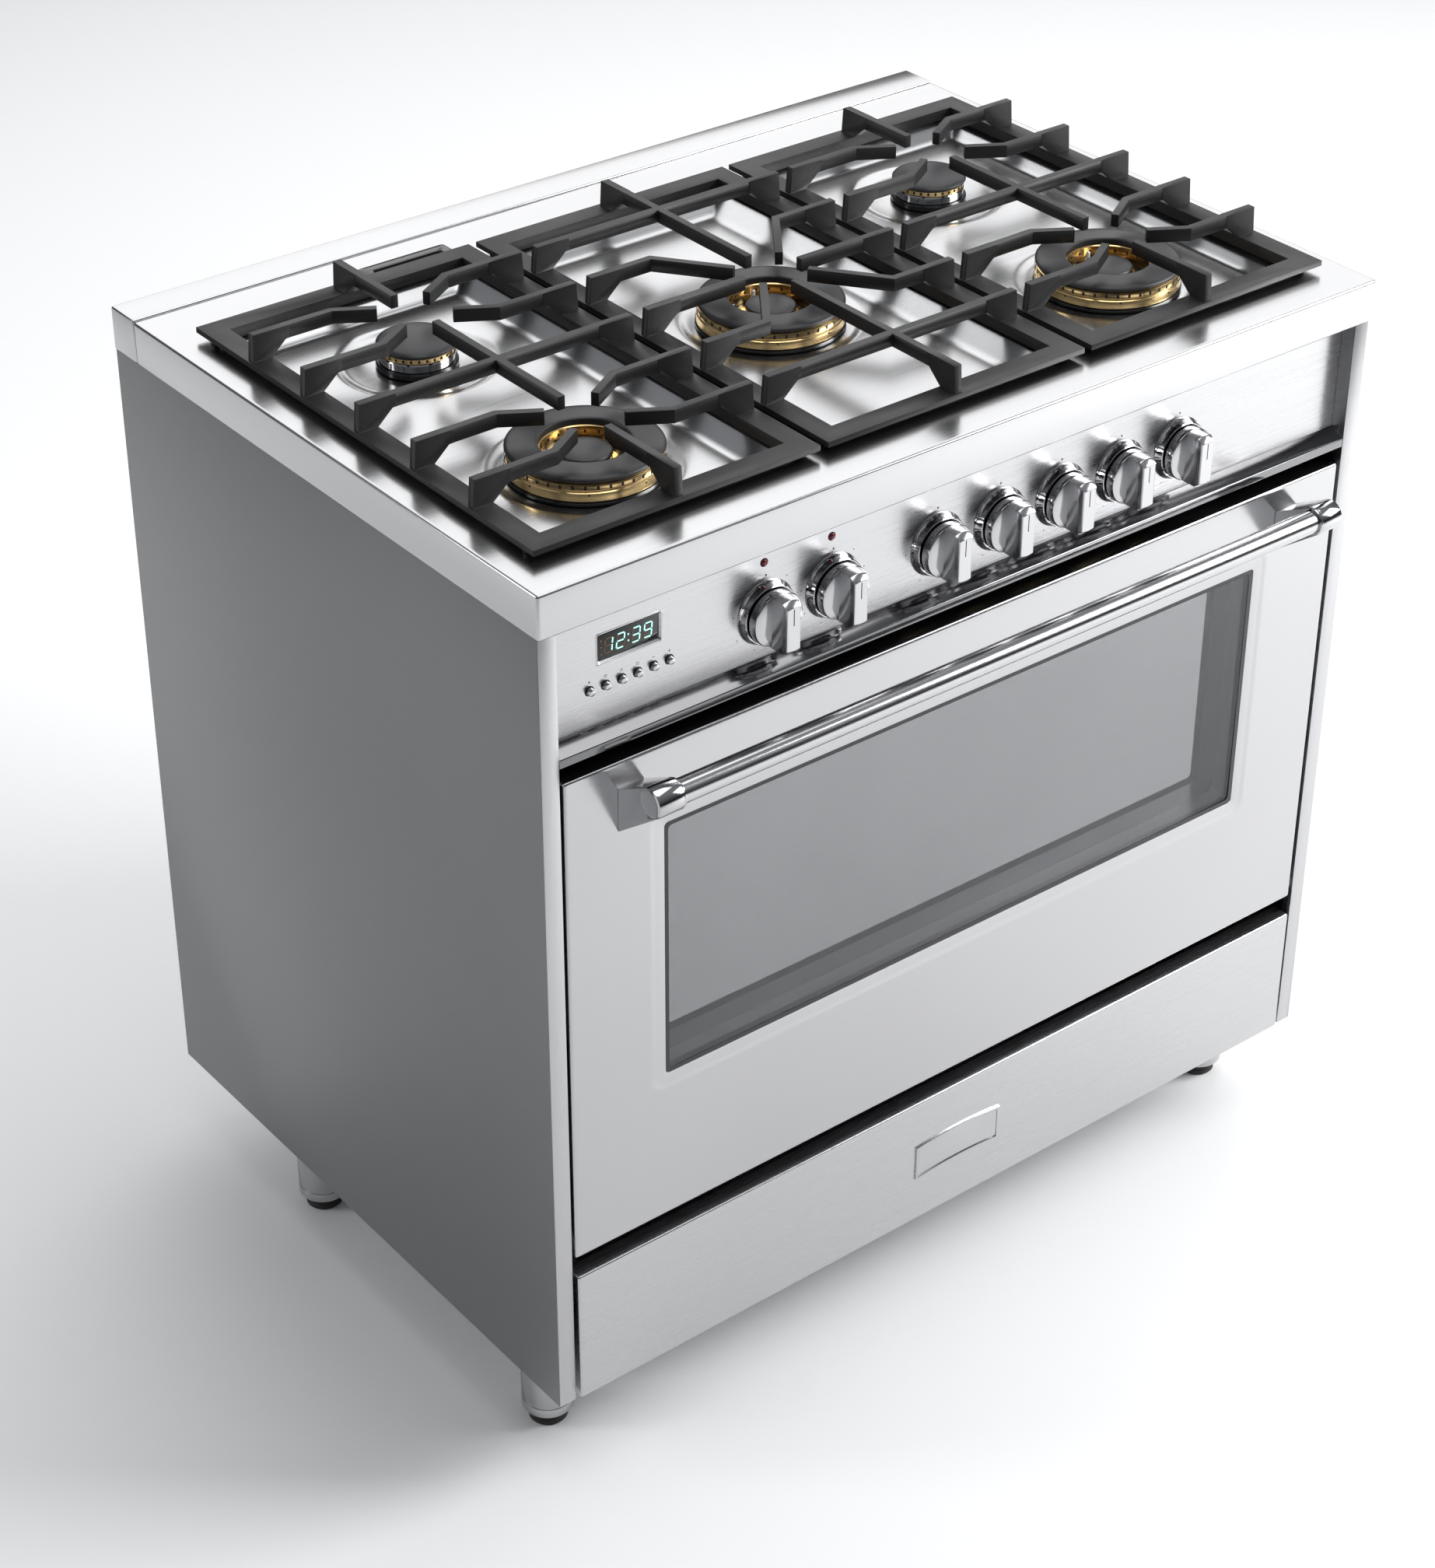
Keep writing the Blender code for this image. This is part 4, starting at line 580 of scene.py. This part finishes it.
def make_clock():
    y = FACE + 0.0012
    put("clock_pane", box((clock_lo.x, clock_hi.x), (y, y + 0.002), (clock_lo.z, clock_hi.z), 0.0004),
        display, replaces=["clock_window"])
    lit = bmesh.new()
    dim = bmesh.new()
    high = 0.0062
    wide = 0.0036
    thick = 0.0010
    bars = {
        "a": ((-wide, high), (wide, high)), "g": ((-wide, 0), (wide, 0)),
        "d": ((-wide, -high), (wide, -high)),
        "b": ((wide, 0), (wide, high)), "c": ((wide, -high), (wide, 0)),
        "f": ((-wide, 0), (-wide, high)), "e": ((-wide, -high), (-wide, 0)),
    }
    slant = 0.10
    places = (-0.0190, -0.0075, 0.0075, 0.0190)
    for x, digit in zip(places, "1239"):
        for key, (start, end) in bars.items():
            bm = lit if key in SEGMENTS[digit] else dim
            flat_bar = start[1] == end[1]
            x0 = CLOCK.x + x + start[0] + (0.0007 if flat_bar else -thick / 2)
            x1 = CLOCK.x + x + end[0] + (-0.0007 if flat_bar else thick / 2)
            z0 = CLOCK.z + min(start[1], end[1]) + (-thick / 2 if flat_bar else 0.0007)
            z1 = CLOCK.z + max(start[1], end[1]) + (thick / 2 if flat_bar else -0.0007)
            lean = Matrix.Identity(4)
            lean[0][2] = slant
            lean[0][3] = -slant * CLOCK.z
            add_box(bm, (x0, x1), (y - 0.00025, y + 0.0002), (z0, z1), 0.0, 1, lean)
    for z in (-0.0028, 0.0028):
        add_box(lit, (CLOCK.x - 0.0006, CLOCK.x + 0.0006), (y - 0.00025, y + 0.0002),
                (CLOCK.z + z - 0.0006, CLOCK.z + z + 0.0006))
    for i in range(3):
        x = CLOCK.x - 0.0262
        z = CLOCK.z - 0.006 + i * 0.006
        add_box(dim, (x - 0.0008, x + 0.0008), (y - 0.00025, y + 0.0002), (z - 0.0008, z + 0.0008))
    put("clock_digits", lit, digit_on)
    put("clock_segments", dim, digit_off)


def make_buttons():
    for i in range(1, 7):
        low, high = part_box("clock_button_%d" % i)
        x = (low.x + high.x) / 2
        z = (low.z + high.z) / 2
        place = upright_frame(x, FACE, z)
        collar = [(0.0034, -0.0010), (0.0034, 0.0003), (0.0037, 0.0006), (0.0042, 0.0006), (0.0045, 0.0),
                  (0.0045, -0.0010)]
        put("button_collar_%d" % i, lathe(collar, place, 40, True), black)
        out = FACE - low.y
        pin = [(0.0, out), (0.0022, out), (0.0029, out - 0.0003), (0.0032, out - 0.0010), (0.0032, -0.004),
               (0.0, -0.004)]
        put("button_pin_%d" % i, lathe(pin, place, 40), chrome, "button_%d_body" % i,
            ["clock_button_%d" % i])
    marks = bmesh.new()
    y = (FACE - 0.00006, FACE + 0.0002)
    for i, shape in enumerate(("dot", "ring", "bars", "square", "minus", "plus")):
        x = middle("clock_button_%d" % (i + 1)).x
        z = middle("clock_button_1").z + 0.0078
        place = upright_frame(x, FACE - 0.00006, z)
        if shape in ("plus", "minus"):
            add_box(marks, (x - 0.0014, x + 0.0014), y, (z - 0.0002, z + 0.0002))
        if shape == "plus":
            add_box(marks, (x - 0.0002, x + 0.0002), y, (z - 0.0014, z + 0.0014))
        if shape == "dot":
            add_lathe(marks, [(0.0, 0.0), (0.0008, 0.0), (0.0008, -0.0002), (0.0, -0.0002)], place, 16)
        if shape == "ring":
            ring = [(0.0010, 0.0), (0.0014, 0.0), (0.0014, -0.0002), (0.0010, -0.0002)]
            add_lathe(marks, ring, place, 20, True)
        if shape == "bars":
            for dz in (-0.0009, 0.0, 0.0009):
                add_box(marks, (x - 0.0013, x + 0.0013), y, (z + dz - 0.00014, z + dz + 0.00014))
        if shape == "square":
            for dx in (-0.0011, 0.0009):
                add_box(marks, (x + dx, x + dx + 0.0003), y, (z - 0.0011, z + 0.0011))
            for dz in (-0.0011, 0.0009):
                add_box(marks, (x - 0.0011, x + 0.0012), y, (z + dz, z + dz + 0.0003))
    put("button_marks", marks, black)


KNOB_BODIES = (
    "function_knob", "temperature_knob", "burner_knob_front_left", "burner_knob_rear_left",
    "burner_knob_centre", "burner_knob_rear_right", "burner_knob_front_right",
)


def grip_outline(width, radius, end, steps=6):
    """Bar with straight sides and ends that follow a circle, cut short by end."""
    reach = math.asin(width / radius)
    points = []
    for side in (1, -1):
        for i in range(steps + 1):
            angle = reach - 2 * reach * i / steps
            x = radius * math.sin(angle) * side
            z = (radius * math.cos(angle) - end) * side
            points.append((x, z))
    return points


def make_knobs():
    for index, body in enumerate(KNOB_BODIES, start=1):
        low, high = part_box("knob_%d" % index)
        x = (low.x + high.x) / 2
        z = (low.z + high.z) / 2
        radius = (high.z - low.z) / 2
        seat = FACE - 0.008
        place = upright_frame(x, FACE, z)
        bezel = [(0.0205, -0.0005), (0.0288, -0.0005), (0.0288, 0.0006), (0.0281, 0.0018), (0.0272, 0.0040),
                 (0.0266, 0.0064), (0.0263, 0.0074), (0.0257, 0.0079), (0.0249, 0.0079), (0.0243, 0.0074),
                 (0.0240, 0.0060), (0.0205, 0.0056)]
        put("bezel_%d" % index, lathe(bezel, place, 80, True), chrome)
        front = seat - low.y
        skirt_top = front - 0.0182
        place = upright_frame(x, seat, z)
        # painted shade: black disc seen in the gap between bezel and knob skirt, where shade falls
        gap_shadow = [(0.0, 0.0), (0.0215, 0.0), (0.0226, 0.0004), (0.0226, 0.0014), (0.0, 0.0014)]
        put("knob_groove_%d" % index, lathe(gap_shadow, place, 64), black, body)
        r = radius - 0.0001
        skirt = [(0.0, 0.0013), (r - 0.0006, 0.0013), (r - 0.0001, 0.0017), (r, 0.0024),
                 (r, skirt_top - 0.0012), (r - 0.0003, skirt_top - 0.0005),
                 (r - 0.0010, skirt_top - 0.0001), (0.0, skirt_top)]
        put("knob_skirt_%d" % index, lathe(skirt, place, 96), steel_knob, body,
            ["knob_%d" % index])
        bm = bmesh.new()
        rings = []
        for depth, width, end in (
                (skirt_top - 0.001, 0.0078, 0.0002), (front - 0.0052, 0.0078, 0.0002),
                (front - 0.0044, 0.0077, 0.0006), (front - 0.0012, 0.0073, 0.0034),
                (front - 0.0003, 0.0068, 0.0044), (front - 0.0001, 0.0063, 0.0049)):
            rings.append([place @ Vector((u, v, depth)) for u, v in grip_outline(width, r, end)])
        add_rings(bm, rings)
        put("knob_grip_%d" % index, bm, steel_knob, body, angle=20)
        marks = bmesh.new()
        add_box(marks, (-0.0006, 0.0006), (0.003, 0.0185), (front - 0.0012, front), 0.0002, 1, place)
        ticks = 24
        for i in range(ticks):
            angle = TAU * i / ticks
            if abs(math.sin(angle)) < 0.30:
                continue
            tall = 0.0034 if i % 3 == 0 else 0.0018
            spin = place @ Matrix.Rotation(angle + math.pi / 2, 4, "Z")
            add_box(marks, (-0.00028, 0.00028), (r - 0.0004, r + 0.00005),
                    (0.0060 - tall / 2, 0.0060 + tall / 2), 0.0, 1, spin)
        put("knob_marks_%d" % index, marks, black, body)
    for index in (1, 2):
        at = middle("knob_%d" % index)
        place = upright_frame(at.x - 0.002, FACE, at.z + 0.0455)
        lens = [(0.0, 0.0018), (0.0016, 0.0016), (0.0028, 0.0010), (0.0033, 0.0002), (0.0033, -0.0006),
                (0.0, -0.0006)]
        put("lamp_%d" % index, lathe(lens, place, 40), lens_red)
        rim = [(0.0032, -0.0002), (0.0033, 0.0004), (0.0037, 0.0004), (0.0039, 0.0), (0.0039, -0.0004)]
        put("lamp_rim_%d" % index, lathe(rim, place, 40, True), black)


def make_dial_marks():
    """Plain dots and arcs printed around the dials."""
    bm = bmesh.new()
    for index in range(1, 8):
        at = middle("knob_%d" % index)
        for i, turn in enumerate((0, 40, 80, 120, 160, 200, 240, 280) if index < 3 else (0, 90, 150, 210)):
            sign = 1 if index < 3 else -1
            angle = math.radians(90 - sign * turn)
            place = upright_frame(
                at.x + 0.0335 * math.cos(angle), FACE - 0.00006, at.z + 0.0335 * math.sin(angle))
            size = 0.0009 if i == 0 else 0.00055
            add_lathe(bm, [(0.0, 0.0), (size, 0.0), (size, -0.0002), (0.0, -0.0002)], place, 14)
    put("dial_marks", bm, black)


# ---- sides, stiles and back ----------------------------------------------------------------
def make_sides():
    for name, side in (("left", -1), ("right", 1)):
        node = "side_panel_" + name
        low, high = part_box(node)
        outer = low.x if side < 0 else high.x
        inner = high.x if side < 0 else low.x
        x = sorted((outer, outer - side * 0.0015))
        put("side_skin_" + name, box(x, (low.y + 0.0006, high.y), (low.z, high.z), 0.0005), side_grey,
            replaces=[node])
        bm = bmesh.new()
        x = sorted((outer - side * 0.0004, inner))
        add_box(bm, x, (low.y, low.y + 0.0015), (low.z, high.z), 0.0005, 2)
        x = sorted((inner, inner + side * 0.0015))
        add_box(bm, x, (low.y + 0.0003, low.y + 0.030), (low.z, high.z), 0.0004, 2)
        put("stile_" + name, bm, steel_up)


def make_back():
    low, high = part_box("back_panel")
    centre = (0.0, (low.z + high.z) / 2)
    half = (high.x, (high.z - low.z) / 2)
    rings = []
    for inset, y in ((0, high.y - 0.0015), (0, high.y), (0.040, high.y), (0.0425, high.y - 0.0006),
                     (0.0455, high.y - 0.0030), (0.048, high.y - 0.0036)):
        corner = max(inset * 0.3, 0.00002)
        rings.append(facing(y)(rounded(half[0] - inset, half[1] - inset, corner, 5, centre)))
    bm = bmesh.new()
    add_rings(bm, rings, False, True)
    floor = high.y - 0.0036
    inlet = middle("gas_manifold").x + 0.16
    places = [(-0.34 + column * 0.68 / 13, low.z + 0.13) for column in range(14)]
    # the upper row leaves room round the gas inlet
    places += [(x, high.z - 0.11) for x, z in places if abs(x - inlet) >= 0.05]
    for x, z in places:
        y = (floor - 0.0005, floor + 0.0022)
        add_box(bm, (x - 0.004, x + 0.004), y, (z - 0.028, z + 0.028), 0.0018, 3)
    put("back_sheet", bm, galvanised, replaces=["back_panel"])
    # painted shade: flat black strips beside each louvre, standing for the shade inside the openings
    slot_shadows = bmesh.new()
    for x, z in places:
        y = (floor - 0.0002, floor + 0.0001)
        add_box(slot_shadows, (x + 0.0042, x + 0.0078), y, (z - 0.026, z + 0.026))
    put("back_slot_shadows", slot_shadows, black)
    screws = bmesh.new()
    places = [(x, z) for x in (-0.43, -0.15, 0.15, 0.43) for z in (low.z + 0.02, high.z - 0.02)]
    places += [(x, z) for z in (low.z + 0.2, (low.z + high.z) / 2, high.z - 0.2) for x in (-0.43, 0.43)]
    head = [(0.0, -0.0001), (0.0030, -0.0001), (0.0038, -0.0006), (0.0040, -0.0016), (0.0, -0.0016)]
    for x, z in places:
        place = Matrix.Translation((x, high.y, z)) @ Matrix.Rotation(math.radians(-90), 4, "X")
        add_lathe(screws, head, place, 24)
    put("back_screws", screws, chrome)


# ---- door ------------------------------------------------------------------------------------
door_lo, door_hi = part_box("door_panel")
glass_lo, glass_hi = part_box("door_glass")
LAP = 0.008
WINDOW = ((glass_hi.x - glass_lo.x) / 2 - LAP, (glass_hi.z - glass_lo.z) / 2 - LAP)
WINDOW_AT = (0.0, (glass_lo.z + glass_hi.z) / 2)
DOOR_AT = (0.0, (door_lo.z + door_hi.z) / 2)
DOOR_HALF = (door_hi.x, (door_hi.z - door_lo.z) / 2)


def make_door():
    face = door_lo.y
    steps = [
        (DOOR_AT, DOOR_HALF, 0.0, door_hi.y, 0.0012),
        (DOOR_AT, DOOR_HALF, 0.0, face + 0.0020, 0.0020),
        (DOOR_AT, DOOR_HALF, 0.0003, face + 0.0010, 0.0020),
        (DOOR_AT, DOOR_HALF, 0.0010, face + 0.0003, 0.0020),
        (DOOR_AT, DOOR_HALF, 0.0020, face, 0.0020),
        (DOOR_AT, DOOR_HALF, 0.0034, face, 0.0020),
        (WINDOW_AT, WINDOW, -0.0164, face, 0.0142),
        (WINDOW_AT, WINDOW, -0.0150, face, 0.0130),
        (WINDOW_AT, WINDOW, -0.0135, face + 0.0002, 0.0120),
        (WINDOW_AT, WINDOW, -0.0110, face + 0.0008, 0.0100),
        (WINDOW_AT, WINDOW, -0.0095, face + 0.0010, 0.0090),
        (WINDOW_AT, WINDOW, -0.0008, face + 0.0010, 0.0048),
        (WINDOW_AT, WINDOW, -0.0002, face + 0.0012, 0.0042),
        (WINDOW_AT, WINDOW, 0.0, face + 0.0016, 0.0040),
        (WINDOW_AT, WINDOW, 0.0, glass_lo.y, 0.0040),
    ]
    rings = [
        facing(y)(rounded(size[0] - inset, size[1] - inset, radius, 6, where))
        for where, size, inset, y, radius in steps
    ]
    bm = bmesh.new()
    add_rings(bm, rings, False, False)
    put("door_skin", bm, steel_door, DOOR, ["door_panel"])
    pane = box((glass_lo.x, glass_hi.x), (glass_lo.y, glass_hi.y), (glass_lo.z, glass_hi.z), 0.0006)
    put("door_pane", pane, door_glass, DOOR, ["door_glass"])
    bm = bmesh.new()
    front = glass_lo.y - 0.00022
    steps = ((-LAP, front), (0.0042, front), (0.0042, front + 0.0002), (-LAP, front + 0.0002))
    rings = [
        facing(y)(rounded(WINDOW[0] - inset, WINDOW[1] - inset, 0.004, 5, WINDOW_AT)) for inset, y in steps
    ]
    add_rings(bm, rings, loop=True)
    put("glass_border", bm, enamel, DOOR)
    depth = door_hi.y + 0.0075
    bm = bmesh.new()
    steps = ((0.0003, glass_hi.y + 0.0002), (0.0003, depth), (-0.002, depth), (-0.002, glass_hi.y + 0.0002))
    rings = [
        facing(y)(rounded(WINDOW[0] - inset, WINDOW[1] - inset, 0.004, 5, WINDOW_AT)) for inset, y in steps
    ]
    add_rings(bm, rings, loop=True)
    put("window_reveal", bm, reveal_paint, DOOR)
    bm = bmesh.new()
    rings = [
        facing(y)(rounded(WINDOW[0] + 0.001, WINDOW[1] + 0.001, 0.004, 5, WINDOW_AT))
        for y in (depth - 0.0032, depth - 0.0002)
    ]
    add_rings(bm, rings)
    put("middle_pane", bm, mirror_glass, DOOR)
    dressed("door_liner", oven_enamel, 0.0008)
    dressed("door_inner_glass", inner_glass, 0.0004)


def make_handle():
    low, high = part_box("door_handle")
    radius = 0.0135
    axis_y = low.y + radius
    axis_z = high.z - radius
    end = high.x
    along = Matrix.Translation((0, axis_y, axis_z)) @ Matrix.Rotation(math.radians(90), 4, "Y")
    inner = end - 0.027
    bar = [(0.0, inner + 0.002), (0.0107, inner + 0.002), (0.0107, -inner - 0.002), (0.0, -inner - 0.002)]
    put("handle_bar", lathe(bar, along, 96), bar_steel, DOOR, ["door_handle"])
    r = radius
    for name, side in (("left", -1), ("right", 1)):
        turn = Matrix.Rotation(math.radians(side * 90), 4, "Y")
        place = Matrix.Translation((side * inner, axis_y, axis_z)) @ turn
        ferrule = [(0.0, 0.0268), (0.0095, 0.0268), (0.0120, 0.0266), (0.0130, 0.0260), (r, 0.0248),
                   (r, 0.0040), (r - 0.0002, 0.0034), (r - 0.0008, 0.0031),
                   (r - 0.0008, 0.0024), (r - 0.0002, 0.0021),
                   (r, 0.0016), (r - 0.0004, 0.0004), (r - 0.0010, 0.0), (0.0, 0.0)]
        put("handle_ferrule_" + name, lathe(ferrule, place, 96), polished, DOOR)
        make_bracket(name, side, inner, axis_y, axis_z, radius)


def make_bracket(name, side, inner, axis_y, axis_z, radius):
    """Wedge from the door face up to the ferrule, with flat cheeks."""
    foot = door_lo.y
    top = (foot, door_hi.z - 0.0242)
    bottom = (foot, door_hi.z - 0.0242 - 0.0405)
    outline = [top]
    axis = Vector((axis_y, axis_z))
    start = tangent(Vector(top), axis, radius - 0.0002, -1) - axis
    stop = tangent(Vector(bottom), axis, radius - 0.0002, 1) - axis
    a0 = math.atan2(start.y, start.x)
    a1 = math.atan2(stop.y, stop.x)
    if a1 < a0:
        a1 += TAU
    reach = radius - 0.0002
    for i in range(13):
        angle = a0 + (a1 - a0) * i / 12
        outline.append((axis_y + math.cos(angle) * reach, axis_z + math.sin(angle) * reach))
    outline.append(bottom)
    middle_yz = (sum(p[0] for p in outline) / len(outline), sum(p[1] for p in outline) / len(outline))

    def ring(x, shrink):
        made = []
        for y, z in outline:
            away = Vector((y - middle_yz[0], z - middle_yz[1]))
            away *= max(1 - shrink / max(away.length, 0.001), 0.0)
            made.append(Vector((x, middle_yz[0] + away.x, middle_yz[1] + away.y)))
        return made

    x0 = side * (inner + 0.0002)
    x1 = side * (inner + 0.0266)
    step = side * 0.0007
    bm = bmesh.new()
    add_rings(bm, [ring(x0, 0.0007), ring(x0 + step * 0.3, 0.0002), ring(x0 + step, 0.0),
                   ring(x1 - step, 0.0), ring(x1 - step * 0.3, 0.0002), ring(x1, 0.0007)])
    put("handle_bracket_" + name, bm, polished, DOOR, angle=25)


def tangent(start, centre, radius, side):
    offset = centre - start
    reach = math.sqrt(offset.length_squared - radius ** 2)
    angle = side * math.asin(radius / offset.length)
    return start + Matrix.Rotation(angle, 2) @ offset.normalized() * reach


# ---- drawer ------------------------------------------------------------------------------------
def make_drawer():
    low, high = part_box("drawer_front")
    centre = (0.0, (low.z + high.z) / 2)
    half = (high.x, (high.z - low.z) / 2)
    rings = []
    for inset, y in ((0.0, high.y), (0.0, low.y + 0.0018), (0.0003, low.y + 0.0009),
                     (0.0009, low.y + 0.0003), (0.0018, low.y), (0.0032, low.y)):
        rings.append(facing(y)(rounded(half[0] - inset, half[1] - inset, 0.0018, 4, centre)))
    bm = bmesh.new()
    add_rings(bm, rings, False, True)
    put("drawer_skin", bm, steel, DRAWER, ["drawer_front"])
    make_badge(low.y, high.z - 0.0697)
    dressed("drawer_box", galvanised, 0.0003)


def make_badge(face, z):
    """Blank name plate with an arched top and bottom and a raised rim."""
    wide = 0.0512
    tall = 0.0186
    arch = 0.0030

    def outline(inset):
        count = 12
        w = wide - inset
        points = []
        for i in range(count + 1):
            t = -1 + 2 * i / count
            points.append((-w * t, tall - inset + arch * (1 - t * t)))
        for i in range(count + 1):
            t = -1 + 2 * i / count
            points.append((w * t, -(tall - inset) + arch * (1 - t * t) * 0.9))
        return [(u, z + v) for u, v in points]

    bm = bmesh.new()
    rings = []
    for inset, out in ((0.0, 0.0), (0.0, 0.0013), (0.0003, 0.0018), (0.0009, 0.0021), (0.0024, 0.0021),
                       (0.0030, 0.0017), (0.0032, 0.0011), (0.0060, 0.0011)):
        rings.append(facing(face + 0.0001 - out)(outline(inset)))
    add_rings(bm, rings, False, True)
    put("drawer_badge", bm, polished, DRAWER, angle=28)


# ---- feet, grates and what is inside --------------------------------------------------------------
def make_feet():
    for name in ("front_left", "front_right", "rear_left", "rear_right"):
        node = "foot_" + name
        low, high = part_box(node)
        place = Matrix.Translation(((low.x + high.x) / 2, (low.y + high.y) / 2, 0.0))
        r = (high.x - low.x) / 2
        leg = [(0.0, high.z), (r, high.z), (r, 0.026), (r - 0.0004, 0.0252), (r - 0.0010, 0.0250),
               (r - 0.0010, 0.0240), (r - 0.0002, 0.0236), (r, 0.0228), (r, 0.0160), (r - 0.0008, 0.0145),
               (r - 0.0024, 0.0138), (0.0, 0.0138)]
        put("leg_" + name, lathe(leg, place, 80), bar_steel, replaces=[node])
        pad = [(0.0, 0.0140), (0.0185, 0.0140), (0.0195, 0.0125), (0.0195, 0.0100), (0.0170, 0.0085),
               (0.0170, 0.0060), (0.0178, 0.0050), (0.0178, 0.0012), (0.0168, 0.0), (0.0, 0.0)]
        put("leg_pad_" + name, lathe(pad, place, 64), rubber)


def make_grates():
    for name in ("left", "middle", "right"):
        dressed("grate_" + name, iron, 0.0011, 3, 22)


def dress_inside():
    dressed("panel_ledge", ledge_steel_painted_shade, 0.0006, 2)
    dressed("oven_liner", oven_enamel, 0.0006)
    dressed("fan_cover", oven_enamel, 0.0006)
    dressed("convection_fan", galvanised, 0.0002)
    dressed("rack_guide_left", chrome, 0.0)
    dressed("rack_guide_right", chrome, 0.0)
    dressed("oven_rack", chrome, 0.0)
    dressed("door_gasket", rubber, 0.0008)
    dressed("gas_manifold", brass, 0.0004)
    dressed("door_hinge_left", galvanised, 0.0003)
    dressed("door_hinge_right", galvanised, 0.0003)
    dressed("base_pan", galvanised, 0.0003)


# ---- studio -----------------------------------------------------------------------------------------
def area(name, place, target, size, energy):
    light = bpy.data.lights.new(name, "AREA")
    light.shape = "RECTANGLE"
    light.size, light.size_y = size
    light.energy = energy
    lamp = bpy.data.objects.new(name, light)
    lamp.location = place
    lamp.rotation_euler = (Vector(target) - Vector(place)).to_track_quat("-Z", "Y").to_euler()
    bpy.context.scene.collection.objects.link(lamp)


def make_world():
    """A dim room that is darkest at the horizon."""
    world = bpy.data.worlds.new("studio")
    bpy.context.scene.world = world
    world.use_nodes = True
    tree = world.node_tree
    shade = tree.nodes["Background"]
    coord = tree.nodes.new("ShaderNodeTexCoord")
    split = tree.nodes.new("ShaderNodeSeparateXYZ")
    ramp = tree.nodes.new("ShaderNodeValToRGB")
    ramp.color_ramp.elements[0].position = 0.05
    ramp.color_ramp.elements[0].color = (0.03, 0.03, 0.035, 1.0)
    ramp.color_ramp.elements[1].position = 0.9
    ramp.color_ramp.elements[1].color = (0.5, 0.52, 0.55, 1.0)
    tree.links.new(coord.outputs["Generated"], split.inputs["Vector"])
    tree.links.new(split.outputs["Z"], ramp.inputs["Fac"])
    tree.links.new(ramp.outputs["Color"], shade.inputs["Color"])
    shade.inputs["Strength"].default_value = 0.6


def make_studio():
    paint = Mat("pale_floor", (0.96, 0.96, 0.96), 0.6)
    paint.bump(paint.noise(40.0), 0.1, 0.00002)
    bm = bmesh.new()
    bmesh.ops.create_grid(bm, x_segments=2, y_segments=2, size=9.0)
    mesh = bpy.data.meshes.new("floor")
    bm.to_mesh(mesh)
    bm.free()
    floor = bpy.data.objects.new("floor", mesh)
    floor.location = (0, 0, -0.0002)
    bpy.context.scene.collection.objects.link(floor)
    mesh.materials.append(paint.mat)
    area("deck_softbox", (1.9, 2.5, 2.9), (0, 0.1, 0.6), (4.6, 3.2), 72)
    area("top_softbox", (0.3, -0.4, 4.2), (0.1, -0.2, 0.0), (2.6, 2.6), 48)
    area("right_softbox", (2.9, -2.0, 2.4), (0.8, -0.5, 0.0), (1.8, 1.8), 160)
    area("left_strip", (-3.2, 1.6, 1.8), (-0.6, 0, 0.4), (0.8, 2.0), 30)
    make_world()
    bpy.context.scene.view_settings.view_transform = "Standard"


def make_camera():
    lens = bpy.data.cameras.new("camera")
    lens.lens = 76.58
    lens.sensor_width = 36.0
    lens.shift_y = -0.057
    lens.clip_end = 50.0
    camera = bpy.data.objects.new("camera", lens)
    camera.location = (-1.672, -2.050, 2.1412)
    camera.rotation_euler = [math.radians(a) for a in (58.2635, -0.1491, -38.1616)]
    bpy.context.scene.collection.objects.link(camera)
    bpy.context.scene.camera = camera


make_camera()
make_studio()
make_cooktop()
make_trim()
make_vent()
for burner in BURNERS:
    if burner in LARGE:
        make_large_burner(burner)
    else:
        make_small_burner(burner)
make_panel()
make_clock()
make_buttons()
make_knobs()
make_dial_marks()
make_sides()
make_back()
make_door()
make_handle()
make_drawer()
make_feet()
make_grates()
dress_inside()
